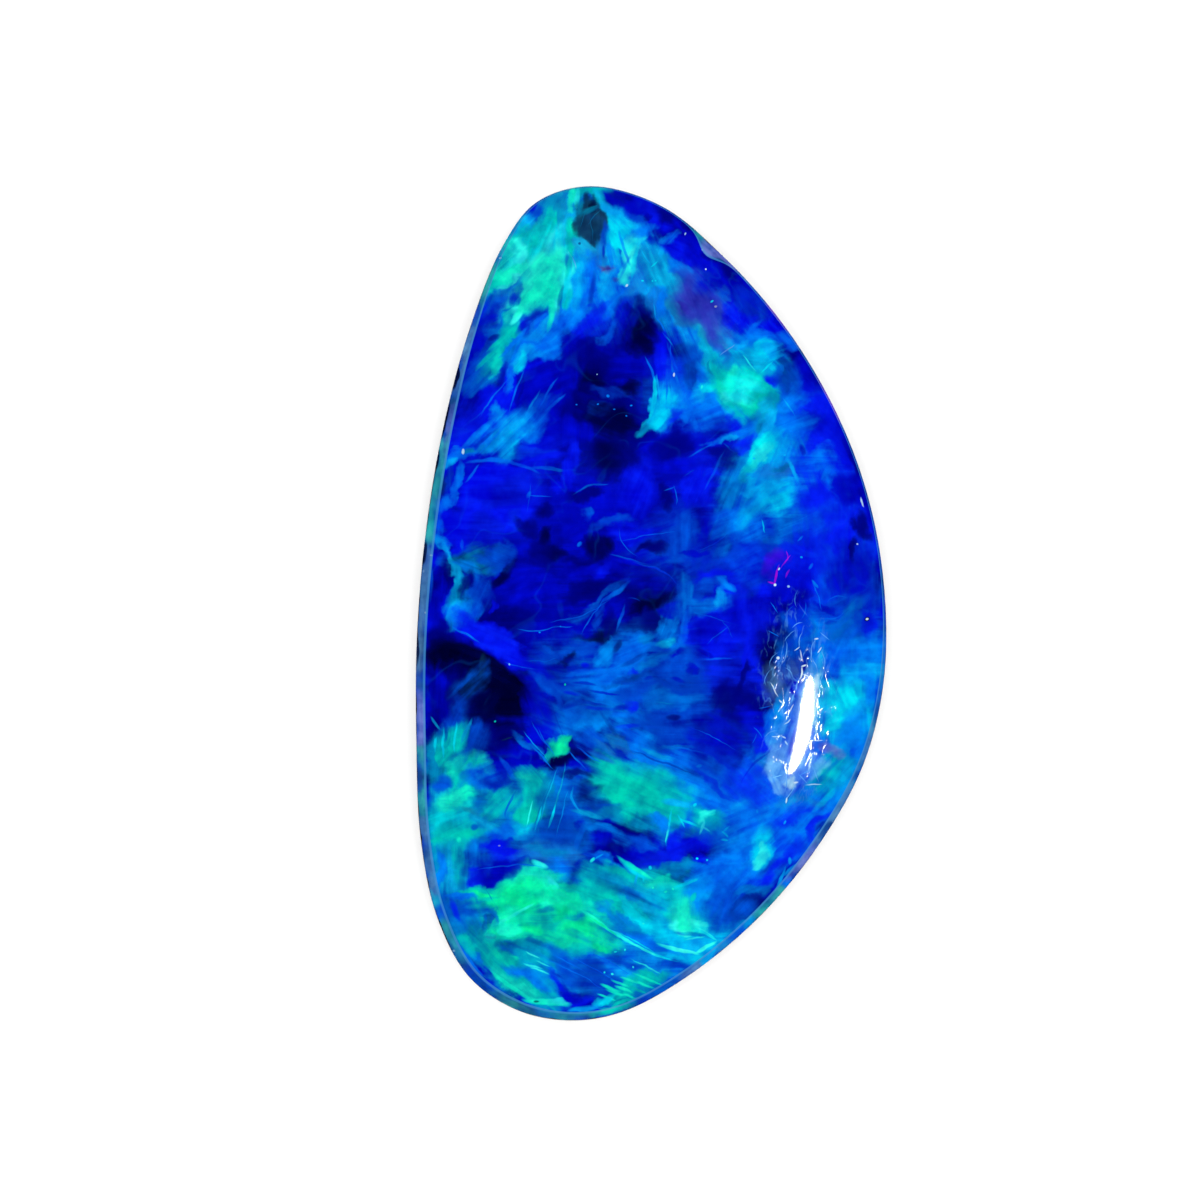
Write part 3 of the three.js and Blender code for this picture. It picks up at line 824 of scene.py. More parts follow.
# The middle: a blue wedge on the left, dark pools with blue veins, a magenta thread on the right
MIDDLE = [
    ("azure", -5.05, 1.85, 0.36, 0.14, 80),
    ("sky", -4.98, 1.52, 0.2, 0.1, -20),
    ("sky", -4.78, 1.18, 0.3, 0.1, -62),
    ("marine", -4.98, 1.2, 0.18, 0.12, 0),
    ("navy", -5.0, 0.6, 0.5, 0.16, 88),
    ("royal", -5.15, 0.1, 0.8, 0.14, 88),
    ("marine", -5.25, 0.5, 0.4, 0.05, 88),
    ("blue", -4.45, 1.9, 0.6, 0.3, 10),
    ("royal-blue", -3.85, 1.75, 0.35, 0.35, 0),
    ("blue", -4.5, 1.35, 0.2, 0.14, 30),
    ("azure", -4.5, 1.4, 0.12, 0.04, 90, 0, 0.8),
    ("slate-teal", -4.15, 1.05, 0.55, 0.3, 12, 0, 0.75),
    ("marine", -3.75, 1.0, 0.4, 0.16, -5, 0, 0.7),
    ("teal-azure", -4.35, 0.78, 0.3, 0.16, -30),
    ("marine", -3.6, 1.15, 0.3, 0.2, -30),
    ("teal-sky", -4.68, 0.65, 0.26, 0.09, 90),
    ("teal", -4.6, 0.15, 0.32, 0.2, 80),
    ("sky", -4.68, -0.25, 0.3, 0.2, 60),
    ("azure", -4.38, -0.12, 0.34, 0.22, 60),
    ("navy", -4.42, 0.42, 0.26, 0.13, 60),
    ("royal-marine", -4.0, 0.3, 0.32, 0.26, 60),
    ("black", -3.5, 0.65, 0.28, 0.14, 48),
    ("navy", -3.4, -0.35, 0.5, 0.3, 0),
    ("royal", -2.9, 0.3, 0.5, 0.4, 20),
    ("blue", -3.78, -0.05, 0.16, 0.08, 60),
    ("blue", -3.85, -0.85, 1.1, 0.32, -32, 0, 0.95, 0.5),
    ("blue", -2.9, -1.5, 0.7, 0.18, -25),
    ("black", -4.05, -1.83, 1.35, 0.6, -33, 0, 0.97, 0.12),
    ("navy", -5.05, -0.75, 0.4, 0.2, 80),
    ("black", -5.0, -1.3, 0.45, 0.25, 80),
    ("navy", -4.9, -2.0, 0.6, 0.3, 60),
    ("slate", -4.05, -1.5, 0.24, 0.07, 80, 0, 0.6),
    ("azure", -4.45, -0.75, 0.32, 0.025, -34),
    ("azure", -2.7, -0.68, 0.42, 0.012, 4, -0.05, 0.65),
    ("azure", -2.15, -0.42, 0.24, 0.012, 14, 0, 0.65),
    ("azure", -2.1, -0.6, 0.2, 0.012, 8, 0, 0.65),
    ("azure", -3.1, -1.47, 0.36, 0.012, -12, 0, 0.65),
    ("azure", -2.6, -1.36, 0.34, 0.013, 4, -0.04, 0.65),
    ("marine", -2.2, -1.1, 0.26, 0.1, 0),
    ("black", -2.42, 1.7, 0.2, 0.16, 70),
    ("black", -2.25, 1.28, 0.26, 0.15, -20),
    ("navy", -2.9, 1.9, 0.24, 0.2, 0),
    ("navy", -2.55, 1.3, 0.35, 0.3, -30, 0, 0.8),
    ("azure", -0.95, 1.9, 0.42, 0.1, 25, 0, 0.2),
    ("azure", -1.5, 2.12, 0.18, 0.08, -60, 0, 0.28),
    ("marine", -1.45, 1.75, 0.2, 0.06, 80, 0, 0.6),
    ("blue", -0.5, 1.7, 0.45, 0.2, 10),
    ("royal", -1.6, 1.75, 0.3, 0.2, 30),
    ("azure", -1.69, 1.4, 0.06, 0.04, 60),
    ("black", -1.32, 1.3, 0.3, 0.2, -60),
    ("navy", -1.6, 1.1, 0.3, 0.16, 20),
    ("blue", -1.3, 0.72, 0.34, 0.12, 10),
    ("royal", -1.7, 0.7, 0.3, 0.2, 20),
    ("navy", -1.6, 0.25, 0.5, 0.16, 20),
    ("marine", 0.7, 1.55, 0.5, 0.3, 80),
    ("navy", 0.05, 1.32, 0.36, 0.14, -8),
    ("navy", -0.3, 1.3, 0.2, 0.1, 20),
    ("azure", -0.05, 1.63, 0.55, 0.012, 6, 0, 0.65),
    ("azure", -0.6, 1.42, 0.36, 0.01, -58, -0.06, 0.45),
    ("navy-royal", -0.55, 0.85, 0.3, 0.1, -15),
    ("azure", -0.5, 1.05, 0.4, 0.022, -16, 0, 0.65),
    ("blue", -0.55, 1.0, 0.3, 0.06, -13),
    ("azure", 0.1, 0.8, 0.5, 0.021, -26, 0.05, 0.65),
    ("blue", 0.15, 0.77, 0.45, 0.022, -26, 0.05, 0.65),
    ("marine", 0.72, 0.95, 0.3, 0.12, 10),
    ("royal", 0.65, 0.87, 0.14, 0.045, -10),
    ("royal", 1.22, 1.82, 0.34, 0.14, 85),
    ("azure", 1.75, 2.0, 0.34, 0.2, 30),
    ("marine-azure", 1.6, 1.55, 0.35, 0.22, 30),
    ("azure", 1.55, 1.45, 0.45, 0.013, 30, -0.06, 0.65),
    ("royal", 1.1, 1.28, 0.24, 0.08, 10),
    ("blue", 1.6, 0.7, 0.42, 0.12, 4),
    ("marine", 1.25, 0.45, 0.4, 0.14, 10),
    ("navy", -0.1, 0.25, 0.55, 0.36, 30),
    ("black", 0.22, 0.2, 0.3, 0.2, 70),
    ("black", -0.15, -0.1, 0.42, 0.14, 12),
    ("navy", 0.0, -0.45, 0.5, 0.2, 5),
    ("black", -0.2, 0.55, 0.2, 0.06, 10),
    ("marine", -0.4, 0.15, 0.14, 0.012, -20, 0.04, 0.65),
    ("marine-azure", -1.25, 0.05, 0.75, 0.09, 32, 0, 0.45),
    ("azure", -0.85, 0.28, 0.36, 0.05, 38, 0, 0.6),
    ("azure", -1.5, -0.22, 0.55, 0.013, 26, -0.05, 0.65),
    ("azure", -1.4, -0.3, 0.45, 0.015, 55, 0, 0.65),
    ("marine", -1.2, -0.3, 0.3, 0.1, 50),
    ("black", -1.35, -0.78, 0.4, 0.14, 5),
    ("navy", -0.95, -0.55, 0.3, 0.2, 60),
    ("azure", -0.75, -0.3, 0.28, 0.03, 74, 0, 0.5),
    ("sky-azure", -1.22, -1.2, 0.3, 0.2, 50),
    ("azure", -0.5, -1.1, 0.42, 0.24, 30),
    ("teal-azure", -0.2, -0.85, 0.3, 0.1, 20),
    ("azure", -0.9, -1.6, 0.5, 0.2, 20, 0, 0.7),
    ("navy-marine", -0.45, -1.35, 0.3, 0.06, 25, 0, 0.6),
    ("navy", -0.82, -0.98, 0.16, 0.07, 60),
    ("marine", -1.7, -1.1, 0.3, 0.12, 20),
    ("black", -1.97, -1.3, 0.14, 0.08, 60),
    ("azure", -1.6, -1.65, 0.3, 0.1, 10),
    ("blue", -1.58, -1.47, 0.1, 0.05, 0),
    ("marine-azure", 0.4, -0.6, 0.42, 0.16, 75),
    ("teal-sky", 0.36, -0.9, 0.22, 0.13, 20),
    ("royal", 0.4, -0.2, 0.2, 0.09, 0),
    ("marine-azure", 0.72, 0.3, 0.55, 0.17, 85, 0, 0.6),
    ("azure", 0.85, -0.65, 0.5, 0.1, 85, 0, 0.5),
    ("marine", 0.6, -1.5, 0.5, 0.3, 0),
    ("marine-azure", 1.3, 0.0, 0.45, 0.2, -10, 0, 0.7),
    ("azure-sky", 1.68, 0.08, 0.22, 0.1, 80, 0, 0.6),
    ("azure", 1.85, 0.35, 0.25, 0.12, -40),
    ("blue", 1.5, -0.7, 0.55, 0.42, 0),
    ("royal", 1.3, -0.6, 0.3, 0.2, 30),
    ("azure", 1.5, -0.36, 0.55, 0.01, -18, 0, 0.4),
    ("azure", 1.6, -0.75, 0.32, 0.01, 42, 0, 0.4),
    ("azure", 1.8, -0.6, 0.2, 0.01, -60, 0, 0.35),
    ("royal", 0.68, -1.27, 0.2, 0.1, 10),
    ("royal", 0.62, -1.8, 0.16, 0.05, -20),
    ("royal", 1.0, -1.55, 0.12, 0.1, 0),
    ("royal", 1.3, -1.2, 0.2, 0.05, -30),
    ("blue", -0.5, -1.62, 0.14, 0.08, 0),
    ("royal", -0.1, -1.75, 0.12, 0.04, 20),
    ("royal", 0.25, -1.35, 0.1, 0.06, 0),
    ("marine", 0.05, -1.55, 0.4, 0.14, 15),
    ("azure", 1.6, -1.32, 0.3, 0.02, 5, 0, 0.4),
    ("azure", 2.4, 1.85, 0.4, 0.3, 20),
    ("cyan", 2.66, 1.82, 0.14, 0.014, -70),
    ("azure", 2.56, 2.2, 0.25, 0.014, -75, 0, 0.6),
    ("blue-marine", 2.4, 1.0, 0.34, 0.5, 20),
    ("royal-blue", 3.2, 0.9, 0.6, 0.5, -30),
    ("royal", 3.0, 0.15, 0.35, 0.3, 0),
    ("blue", 2.75, 0.45, 0.2, 0.2, 0),
    ("marine-azure", 3.5, 1.85, 0.5, 0.26, 20),
    ("blue-marine", 4.1, 1.25, 0.3, 0.26, -40),
    ("sky", 3.55, 1.55, 0.1, 0.025, 40),
    ("blue", 4.6, 1.7, 0.45, 0.34, 40),
    ("royal", 4.8, 0.8, 0.6, 0.42, -60),
    ("navy", 4.88, 1.25, 0.22, 0.08, 75),
    ("navy", 5.1, 1.75, 0.3, 0.12, -70),
    ("marine", 5.35, 0.4, 0.5, 0.16, 88),
    ("sky", 3.83, 0.9, 0.08, 0.03, 75),
    ("sky", 3.93, 0.47, 0.1, 0.025, -60),
    ("navy", 3.6, 0.2, 0.28, 0.18, 80),
    ("marine", 4.45, 0.1, 0.3, 0.2, 20),
    ("azure", 4.45, 0.22, 0.24, 0.014, 10, 0.08, 0.5),
    ("royal", 4.1, -0.12, 0.2, 0.1, 0),
    ("azure", 4.4, -0.33, 0.3, 0.016, 20, -0.08, 0.6),
    ("royal", 4.3, -0.45, 0.16, 0.05, 5),
    ("teal-azure", 4.85, -0.1, 0.4, 0.18, 42),
    ("teal-marine", 4.6, -0.6, 0.4, 0.3, 50),
    ("blue", 5.2, -0.6, 0.26, 0.2, -70),
    ("azure", 5.15, -1.3, 0.45, 0.4, 0),
    ("azure", 4.4, -1.2, 0.35, 0.3, 60),
    ("sky", 4.9, -1.72, 0.6, 0.2, 10),
    ("blue", 2.3, -1.2, 0.55, 0.16, 65),
    ("royal", 2.1, -0.4, 0.4, 0.3, 20),
    ("navy", 2.15, -1.65, 0.34, 0.08, 62),
    ("navy", 2.75, -0.4, 0.5, 0.24, 80),
    ("black", 2.85, -1.25, 0.5, 0.18, 70),
    ("navy-marine", 3.45, -0.6, 0.4, 0.3, -40),
    ("navy-marine", 3.3, -1.3, 0.35, 0.2, 80),
    ("navy", 3.4, -0.15, 0.3, 0.14, -20),
]
# The milky haze round the highlight, partly the stone's own tones and partly a painted glow round the
# lamp's mirror image; and the pale veins in it, painted glints of the lamp in the crinkles
HAZE_AND_LAMP_GLOW = [
    ("azure-sky", 3.85, -1.4, 0.6, 0.2, 85, 0, 0.4),
    ("smoke blue", 3.0, -1.85, 0.42, 0.34, -60, 0, 0.35),
    ("azure", 3.3, -0.9, 0.5, 0.24, 80, 0, 0.3),
    ("azure-sky", 3.2, -2.6, 0.6, 0.2, 80, 0, 0.45),
    ("sky-cyan", 4.0, -2.3, 0.9, 0.2, 88, 0, 0.5),
    ("azure-ice", 3.15, -3.4, 0.6, 0.25, 78, 0, 0.5),
    ("azure-ice", 3.5, -4.15, 0.4, 0.25, 60, 0, 0.5),
    ("ice", 3.12, -4.27, 0.24, 0.12, -62, 0, 0.7),
    ("ice", 3.83, -4.05, 0.25, 0.12, 40, 0, 0.45),
    ("navy", 3.3, -4.55, 0.26, 0.014, 70, 0, 0.7),
    ("smoke lilac", 4.1, -3.48, 0.26, 0.16, -10, 0, 0.55),
    ("ice", 3.62, -2.95, 1.15, 0.2, 80, 0, 0.5),
    ("sky", 3.1, -2.95, 0.5, 0.2, 75, 0, 0.45),
    ("ice", 3.05, -3.75, 0.35, 0.2, 70, 0, 0.4),
    ("cyan-white", 4.02, -2.3, 0.6, 0.08, 86, 0, 0.45),
    ("white", 3.95, -2.2, 0.5, 0.05, 84, 0, 0.5),
    ("ice", 3.3, -2.5, 0.5, 0.08, 74, 0, 0.5),
    ("cyan-white", 3.45, -4.2, 0.16, 0.08, 75, 0, 0.7),
    ("blue", 3.5, -0.5, 0.4, 0.25, 80, 0, 0.5),
]
# Pale veins: painted glints of the strip lamp where the polish is crinkled
GLINT_VEINS = [
    ("ice", 3.44, 0.12, 0.2, 0.009, 80, 0.05, 0.6),
    ("azure", 3.93, 0.35, 0.16, 0.012, -75),
    ("azure", 4.0, 0.05, 0.2, 0.01, -82, 0, 0.8),
    ("azure", 2.93, -0.12, 0.14, 0.01, -60, 0, 0.8),
    ("azure", 3.25, -0.18, 0.16, 0.01, 50, 0.03, 0.8),
    ("azure", 3.66, -0.2, 0.2, 0.01, 70, -0.04, 0.8),
    ("ice", 3.42, -0.5, 0.12, 0.01, 30, 0.03),
    ("ice", 3.5, -0.9, 0.17, 0.012, 76, 0.03, 1.1),
    ("white", 3.45, -1.09, 0.07, 0.013, 40, 0, 1.1),
    ("white", 3.57, -1.26, 0.13, 0.013, -68, 0, 1.1),
    ("white", 3.65, -1.5, 0.06, 0.018, 20, 0, 1.2),
    ("white", 3.59, -1.68, 0.14, 0.02, 84, 0, 1.2),
    ("ice", 3.5, -1.95, 0.16, 0.02, 72, 0.02, 1.1),
    ("ice", 3.24, -0.75, 0.16, 0.01, 40, 0.03),
    ("ice", 3.2, -1.2, 0.26, 0.011, 82, -0.07, 0.9),
    ("azure", 2.87, -0.72, 0.14, 0.01, -30),
    ("ice", 2.85, -1.3, 0.18, 0.01, 62, 0.04, 0.7),
    ("ice", 2.72, -1.75, 0.18, 0.01, 80, 0.06, 0.7),
    ("ice", 3.3, -1.62, 0.14, 0.01, -40, 0.03, 0.7),
    ("white", 2.97, -2.08, 0.18, 0.012, -58, 0, 1.1),
    ("white", 3.12, -2.38, 0.05, 0.014, -60, 0, 1.2),
    ("ice", 3.16, -2.62, 0.12, 0.014, -72, 0, 1.2),
    ("white", 3.35, -2.58, 0.13, 0.015, 62, 0, 1.2),
    ("white", 3.26, -2.85, 0.08, 0.014, 40, 0, 1.2),
    ("ice", 3.4, -2.3, 0.12, 0.016, 70, 0, 1.2),
    ("white", 3.04, -3.17, 0.08, 0.014, 0, 0, 1.2),
    ("white", 3.2, -3.2, 0.05, 0.016, -30, 0, 1.2),
    ("white", 3.27, -3.34, 0.06, 0.016, -60, 0, 1.2),
    ("ice", 2.9, -3.08, 0.14, 0.012, 30, 0.03),
    ("ice", 3.08, -3.5, 0.12, 0.01, 20),
    ("azure", 2.6, -3.05, 0.16, 0.011, -50),
    ("azure", 2.76, -2.47, 0.16, 0.011, 8),
    ("azure", 2.5, -3.22, 0.12, 0.01, 60),
    ("ice", 3.82, -1.1, 0.24, 0.011, 80, 0.06, 1.1),
    ("white", 3.92, -0.88, 0.05, 0.016, 5, 0, 1.2),
    ("white", 4.04, -1.12, 0.06, 0.015, 50, 0, 1.2),
    ("ice", 4.13, -0.8, 0.14, 0.012, -40),
    ("ice", 4.17, -1.5, 0.3, 0.012, 84, -0.08, 0.9),
    ("ice", 3.98, -1.5, 0.2, 0.01, -70, 0.04, 0.9),
    ("white", 3.93, -2.22, 0.26, 0.014, -72, 0, 1.2),
    ("white", 4.02, -2.6, 0.1, 0.015, 50, 0, 1.1),
    ("cyan-white", 3.93, -2.95, 0.2, 0.022, 85, 0, 1.1),
    ("cyan-white", 4.06, -2.95, 0.12, 0.014, 60),
    ("white", 3.95, -3.27, 0.12, 0.013, -5, 0, 1.1),
    ("ice", 4.12, -2.1, 0.2, 0.01, 70, 0.04, 0.8),
    ("cyan-white", 3.8, -3.82, 0.16, 0.016, 70, 0, 1.1),
    ("ice", 3.66, -4.06, 0.14, 0.012, 30),
    ("white", 3.84, -4.34, 0.18, 0.013, 5),
    ("ice", 3.62, -4.2, 0.14, 0.012, -58),
    ("ice", 3.92, -4.1, 0.16, 0.012, -70),
    ("white", 3.44, -4.3, 0.06, 0.02, 10, 0, 1.2),
    ("ice", 3.03, -4.1, 0.12, 0.012, 20, 0, 1.1),
    ("ice", 3.22, -4.25, 0.2, 0.014, 80, 0, 1.1),
    ("ice", 3.3, -4.55, 0.2, 0.012, 62, 0, 1.1),
    ("white", 3.22, -4.72, 0.06, 0.015, 76, 0, 1.1),
]
# Thin glazes that shift the tones of wider parts, and a few late strokes
GLAZES = [
    ("royal", -0.5, 9.6, 0.5, 0.22, -15, 0, 0.6),
    ("royal", -0.55, 9.4, 0.5, 0.2, -48, 0, 0.6),
    ("sky-cyan", -1.85, 7.7, 0.5, 0.2, 86, 0, 0.45),
    ("violet", 1.05, 7.2, 0.7, 0.36, -68, 0, 0.4),
    ("aqua-cyan", 2.2, 5.2, 0.45, 0.3, -30, 0, 0.5),
    ("aqua-cyan", 2.62, 3.7, 0.35, 0.14, 50, 0, 0.5),
    ("mint", -2.4, 6.85, 0.4, 0.08, 72, 0, 0.7),
    ("aqua", -3.15, 6.95, 0.3, 0.08, 48, 0, 0.9),
    ("mint", -2.75, 7.45, 0.5, 0.2, 48, 0, 0.6),
    ("cyan", -0.85, 8.7, 0.5, 0.05, 104, 0, 0.7),
    ("azure", -0.6, 8.5, 0.4, 0.04, 108, 0, 0.7),
    ("azure", -0.95, 8.4, 0.4, 0.05, 98, 0, 0.5),
    ("cyan", -0.35, 8.2, 0.4, 0.05, 75, 0, 0.6),
    ("azure", -0.6, 8.05, 0.3, 0.04, 60, 0, 0.6),
    ("royal", 2.3, 7.4, 0.6, 0.3, -50, 0, 0.6),
    ("royal", 1.5, 7.75, 0.4, 0.2, -45, 0, 0.5),
    ("violet", 1.45, 6.6, 0.5, 0.35, -60, 0, 0.5),
    ("azure-sky", -2.45, 6.6, 0.45, 0.25, 45, 0, 0.75),
    ("royal", -0.75, 6.5, 0.4, 0.3, 60, 0, 0.5),
    ("blue", 0.35, 5.7, 0.45, 0.16, 84, 0, 0.75),
    ("royal", -4.4, 5.35, 0.5, 0.28, 70, 0, 0.5),
    ("royal", -2.5, 4.7, 0.5, 0.4, 60, 0, 0.5),
    ("blue", -2.6, 3.55, 0.5, 0.35, 20, 0, 0.5),
    ("royal", 4.4, 4.2, 0.8, 0.28, -60, 0, 0.45),
    ("teal-sky", 2.55, 2.5, 0.5, 0.35, 60, 0, 0.4),
    ("blue", -4.5, 1.8, 0.4, 0.35, 0, 0, 0.4),
    ("royal", 1.4, 1.6, 0.6, 0.35, 75, 0, 0.5),
    ("blue", 3.6, 0.9, 0.8, 0.45, 80, 0, 0.5),
    ("royal", -0.3, 0.7, 0.8, 0.3, -10, 0, 0.4),
    ("royal", 5.1, 0.1, 0.9, 0.26, 88, 0, 0.55),
    ("blue", 2.5, -0.3, 0.5, 0.35, 80, 0, 0.5),
    ("royal", -2.5, -1.6, 0.7, 0.4, -20, 0, 0.55),
    ("navy-marine", 3.3, 5.4, 0.4, 0.3, -60, 0, 0.5),
    ("navy-marine", -1.6, -2.4, 0.6, 0.35, -20, 0, 0.4),
    ("blue", 2.4, -4.4, 0.6, 0.42, -40, 0, 0.7),
    ("royal", 1.5, -4.0, 0.6, 0.35, -30, 0, 0.35),
    ("navy-marine", -2.6, -5.6, 0.5, 0.22, 0, 0, 0.35),
    ("royal", -3.4, -6.4, 0.5, 0.16, 5, 0, 0.45),
    ("navy-marine", -4.2, -3.3, 0.5, 0.3, 60, 0, 0.35),
    ("blue", 0.5, 5.5, 0.45, 0.26, 80, 0, 0.45),
    ("blue", -1.4, 6.6, 0.45, 0.2, 35, 0, 0.45),
    ("royal-blue", -4.5, 4.5, 0.5, 0.3, 70, 0, 0.45),
    ("navy-marine", -4.4, -3.6, 0.4, 0.3, 60, 0, 0.35),
    ("royal", -1.5, -3.4, 0.5, 0.26, -25, 0, 0.35),
    ("navy-marine", -1.6, -4.6, 0.4, 0.25, -30, 0, 0.4),
    ("royal", -3.9, -4.2, 0.4, 0.22, -10, 0, 0.55),
    ("royal", -3.55, -3.9, 0.3, 0.14, 60, 0, 0.4),
    ("navy-marine", -2.2, -5.35, 0.6, 0.26, -10, 0, 0.5),
    ("teal", -2.5, -5.98, 0.35, 0.12, 0, 0, 0.5),
    ("royal", 1.5, -5.5, 0.45, 0.28, -20, 0, 0.4),
    ("blue", 4.0, 1.6, 0.9, 0.4, 80, 0, 0.35),
    ("blue", 4.2, 4.8, 0.8, 0.3, -55, 0, 0.3),
    ("blue", -4.5, 1.6, 0.4, 0.35, 0, 0, 0.4),
    ("sky-cyan", 2.55, 2.4, 0.5, 0.3, 50, 0, 0.4),
    ("sky", 3.6, -4.7, 0.5, 0.3, 50, 0, 0.35),
    ("azure-cyan", 4.4, -4.3, 0.5, 0.25, 60, 0, 0.35),
    ("teal", 0.5, -6.33, 0.42, 0.13, 5, 0, 0.6),
    ("sea-mint", 0.2, -6.62, 0.42, 0.13, -10, 0, 0.8),
    ("mint", -0.35, -6.33, 0.45, 0.05, -32, 0, 0.9),
    ("cyan", 0.8, -6.68, 0.28, 0.035, 25, 0, 1.1),
    ("sky-cyan", 2.62, -5.65, 0.5, 0.2, 72, 0, 0.45),
    ("aqua", 2.5, -6.0, 0.3, 0.1, 52, 0, 0.8),
    ("mint", 0.92, -7.5, 0.34, 0.16, 85, 0, 0.75),
    ("green", -3.4, -7.45, 0.5, 0.28, 0, 0, 0.35),
    ("sea-cyan", 0.5, -6.9, 0.5, 0.3, -10, 0, 0.3),
    ("green", -2.6, -6.8, 0.7, 0.16, -8, 0, 0.55),
    ("mint", -1.9, -7.1, 0.5, 0.2, -20, 0, 0.45),
    ("green", -3.6, -7.25, 0.6, 0.14, 5, 0, 0.5),
    ("teal-sea", -3.45, 6.55, 0.35, 0.12, 50, 0, 0.6),
    ("teal-sea", -3.75, 6.0, 0.4, 0.16, 50, 0, 0.6),
    ("royal", -3.12, 6.6, 0.22, 0.07, 50, 0, 0.7),
    ("azure", -3.3, 6.25, 0.4, 0.05, 48),
    ("sea", -3.62, 6.3, 0.35, 0.04, 46),
    ("sea", -3.95, 5.8, 0.3, 0.05, 44, 0, 0.7),
    ("aqua", -3.25, 6.85, 0.2, 0.07, 52, 0, 1.0),
    ("mint", -2.95, 7.3, 0.5, 0.07, 52, 0, 0.9),
    ("mint", -2.38, 7.0, 0.45, 0.07, 80, 0, 0.9),
    ("cyan", -2.02, 7.6, 0.45, 0.06, 78, 0, 0.8),
    ("sky", -1.78, 7.5, 0.5, 0.07, 80, 0, 0.7),
    ("teal", -2.18, 7.25, 0.3, 0.04, 76, 0, 0.8),
    ("sea", -1.95, 8.15, 0.4, 0.05, 80, 0, 0.7),
]
# The magenta thread, and the warm glow round it
THREAD = [
    ("thread glow", 2.95, 1.05, 0.26, 0.2, 40, 0, 0.5),
    ("thread", 3.18, 0.98, 0.15, 0.014, 58, 0.02, 0.8),
    ("thread", 3.0, 0.66, 0.22, 0.026, 80, 0, 1.2),
    ("thread", 2.88, 0.47, 0.1, 0.018, -14, 0, 1.2),
    ("thread", 3.29, 0.7, 0.1, 0.022, 68, 0, 0.8),
    ("thread", 3.22, 1.12, 0.1, 0.012, 100, 0, 0.7),
]

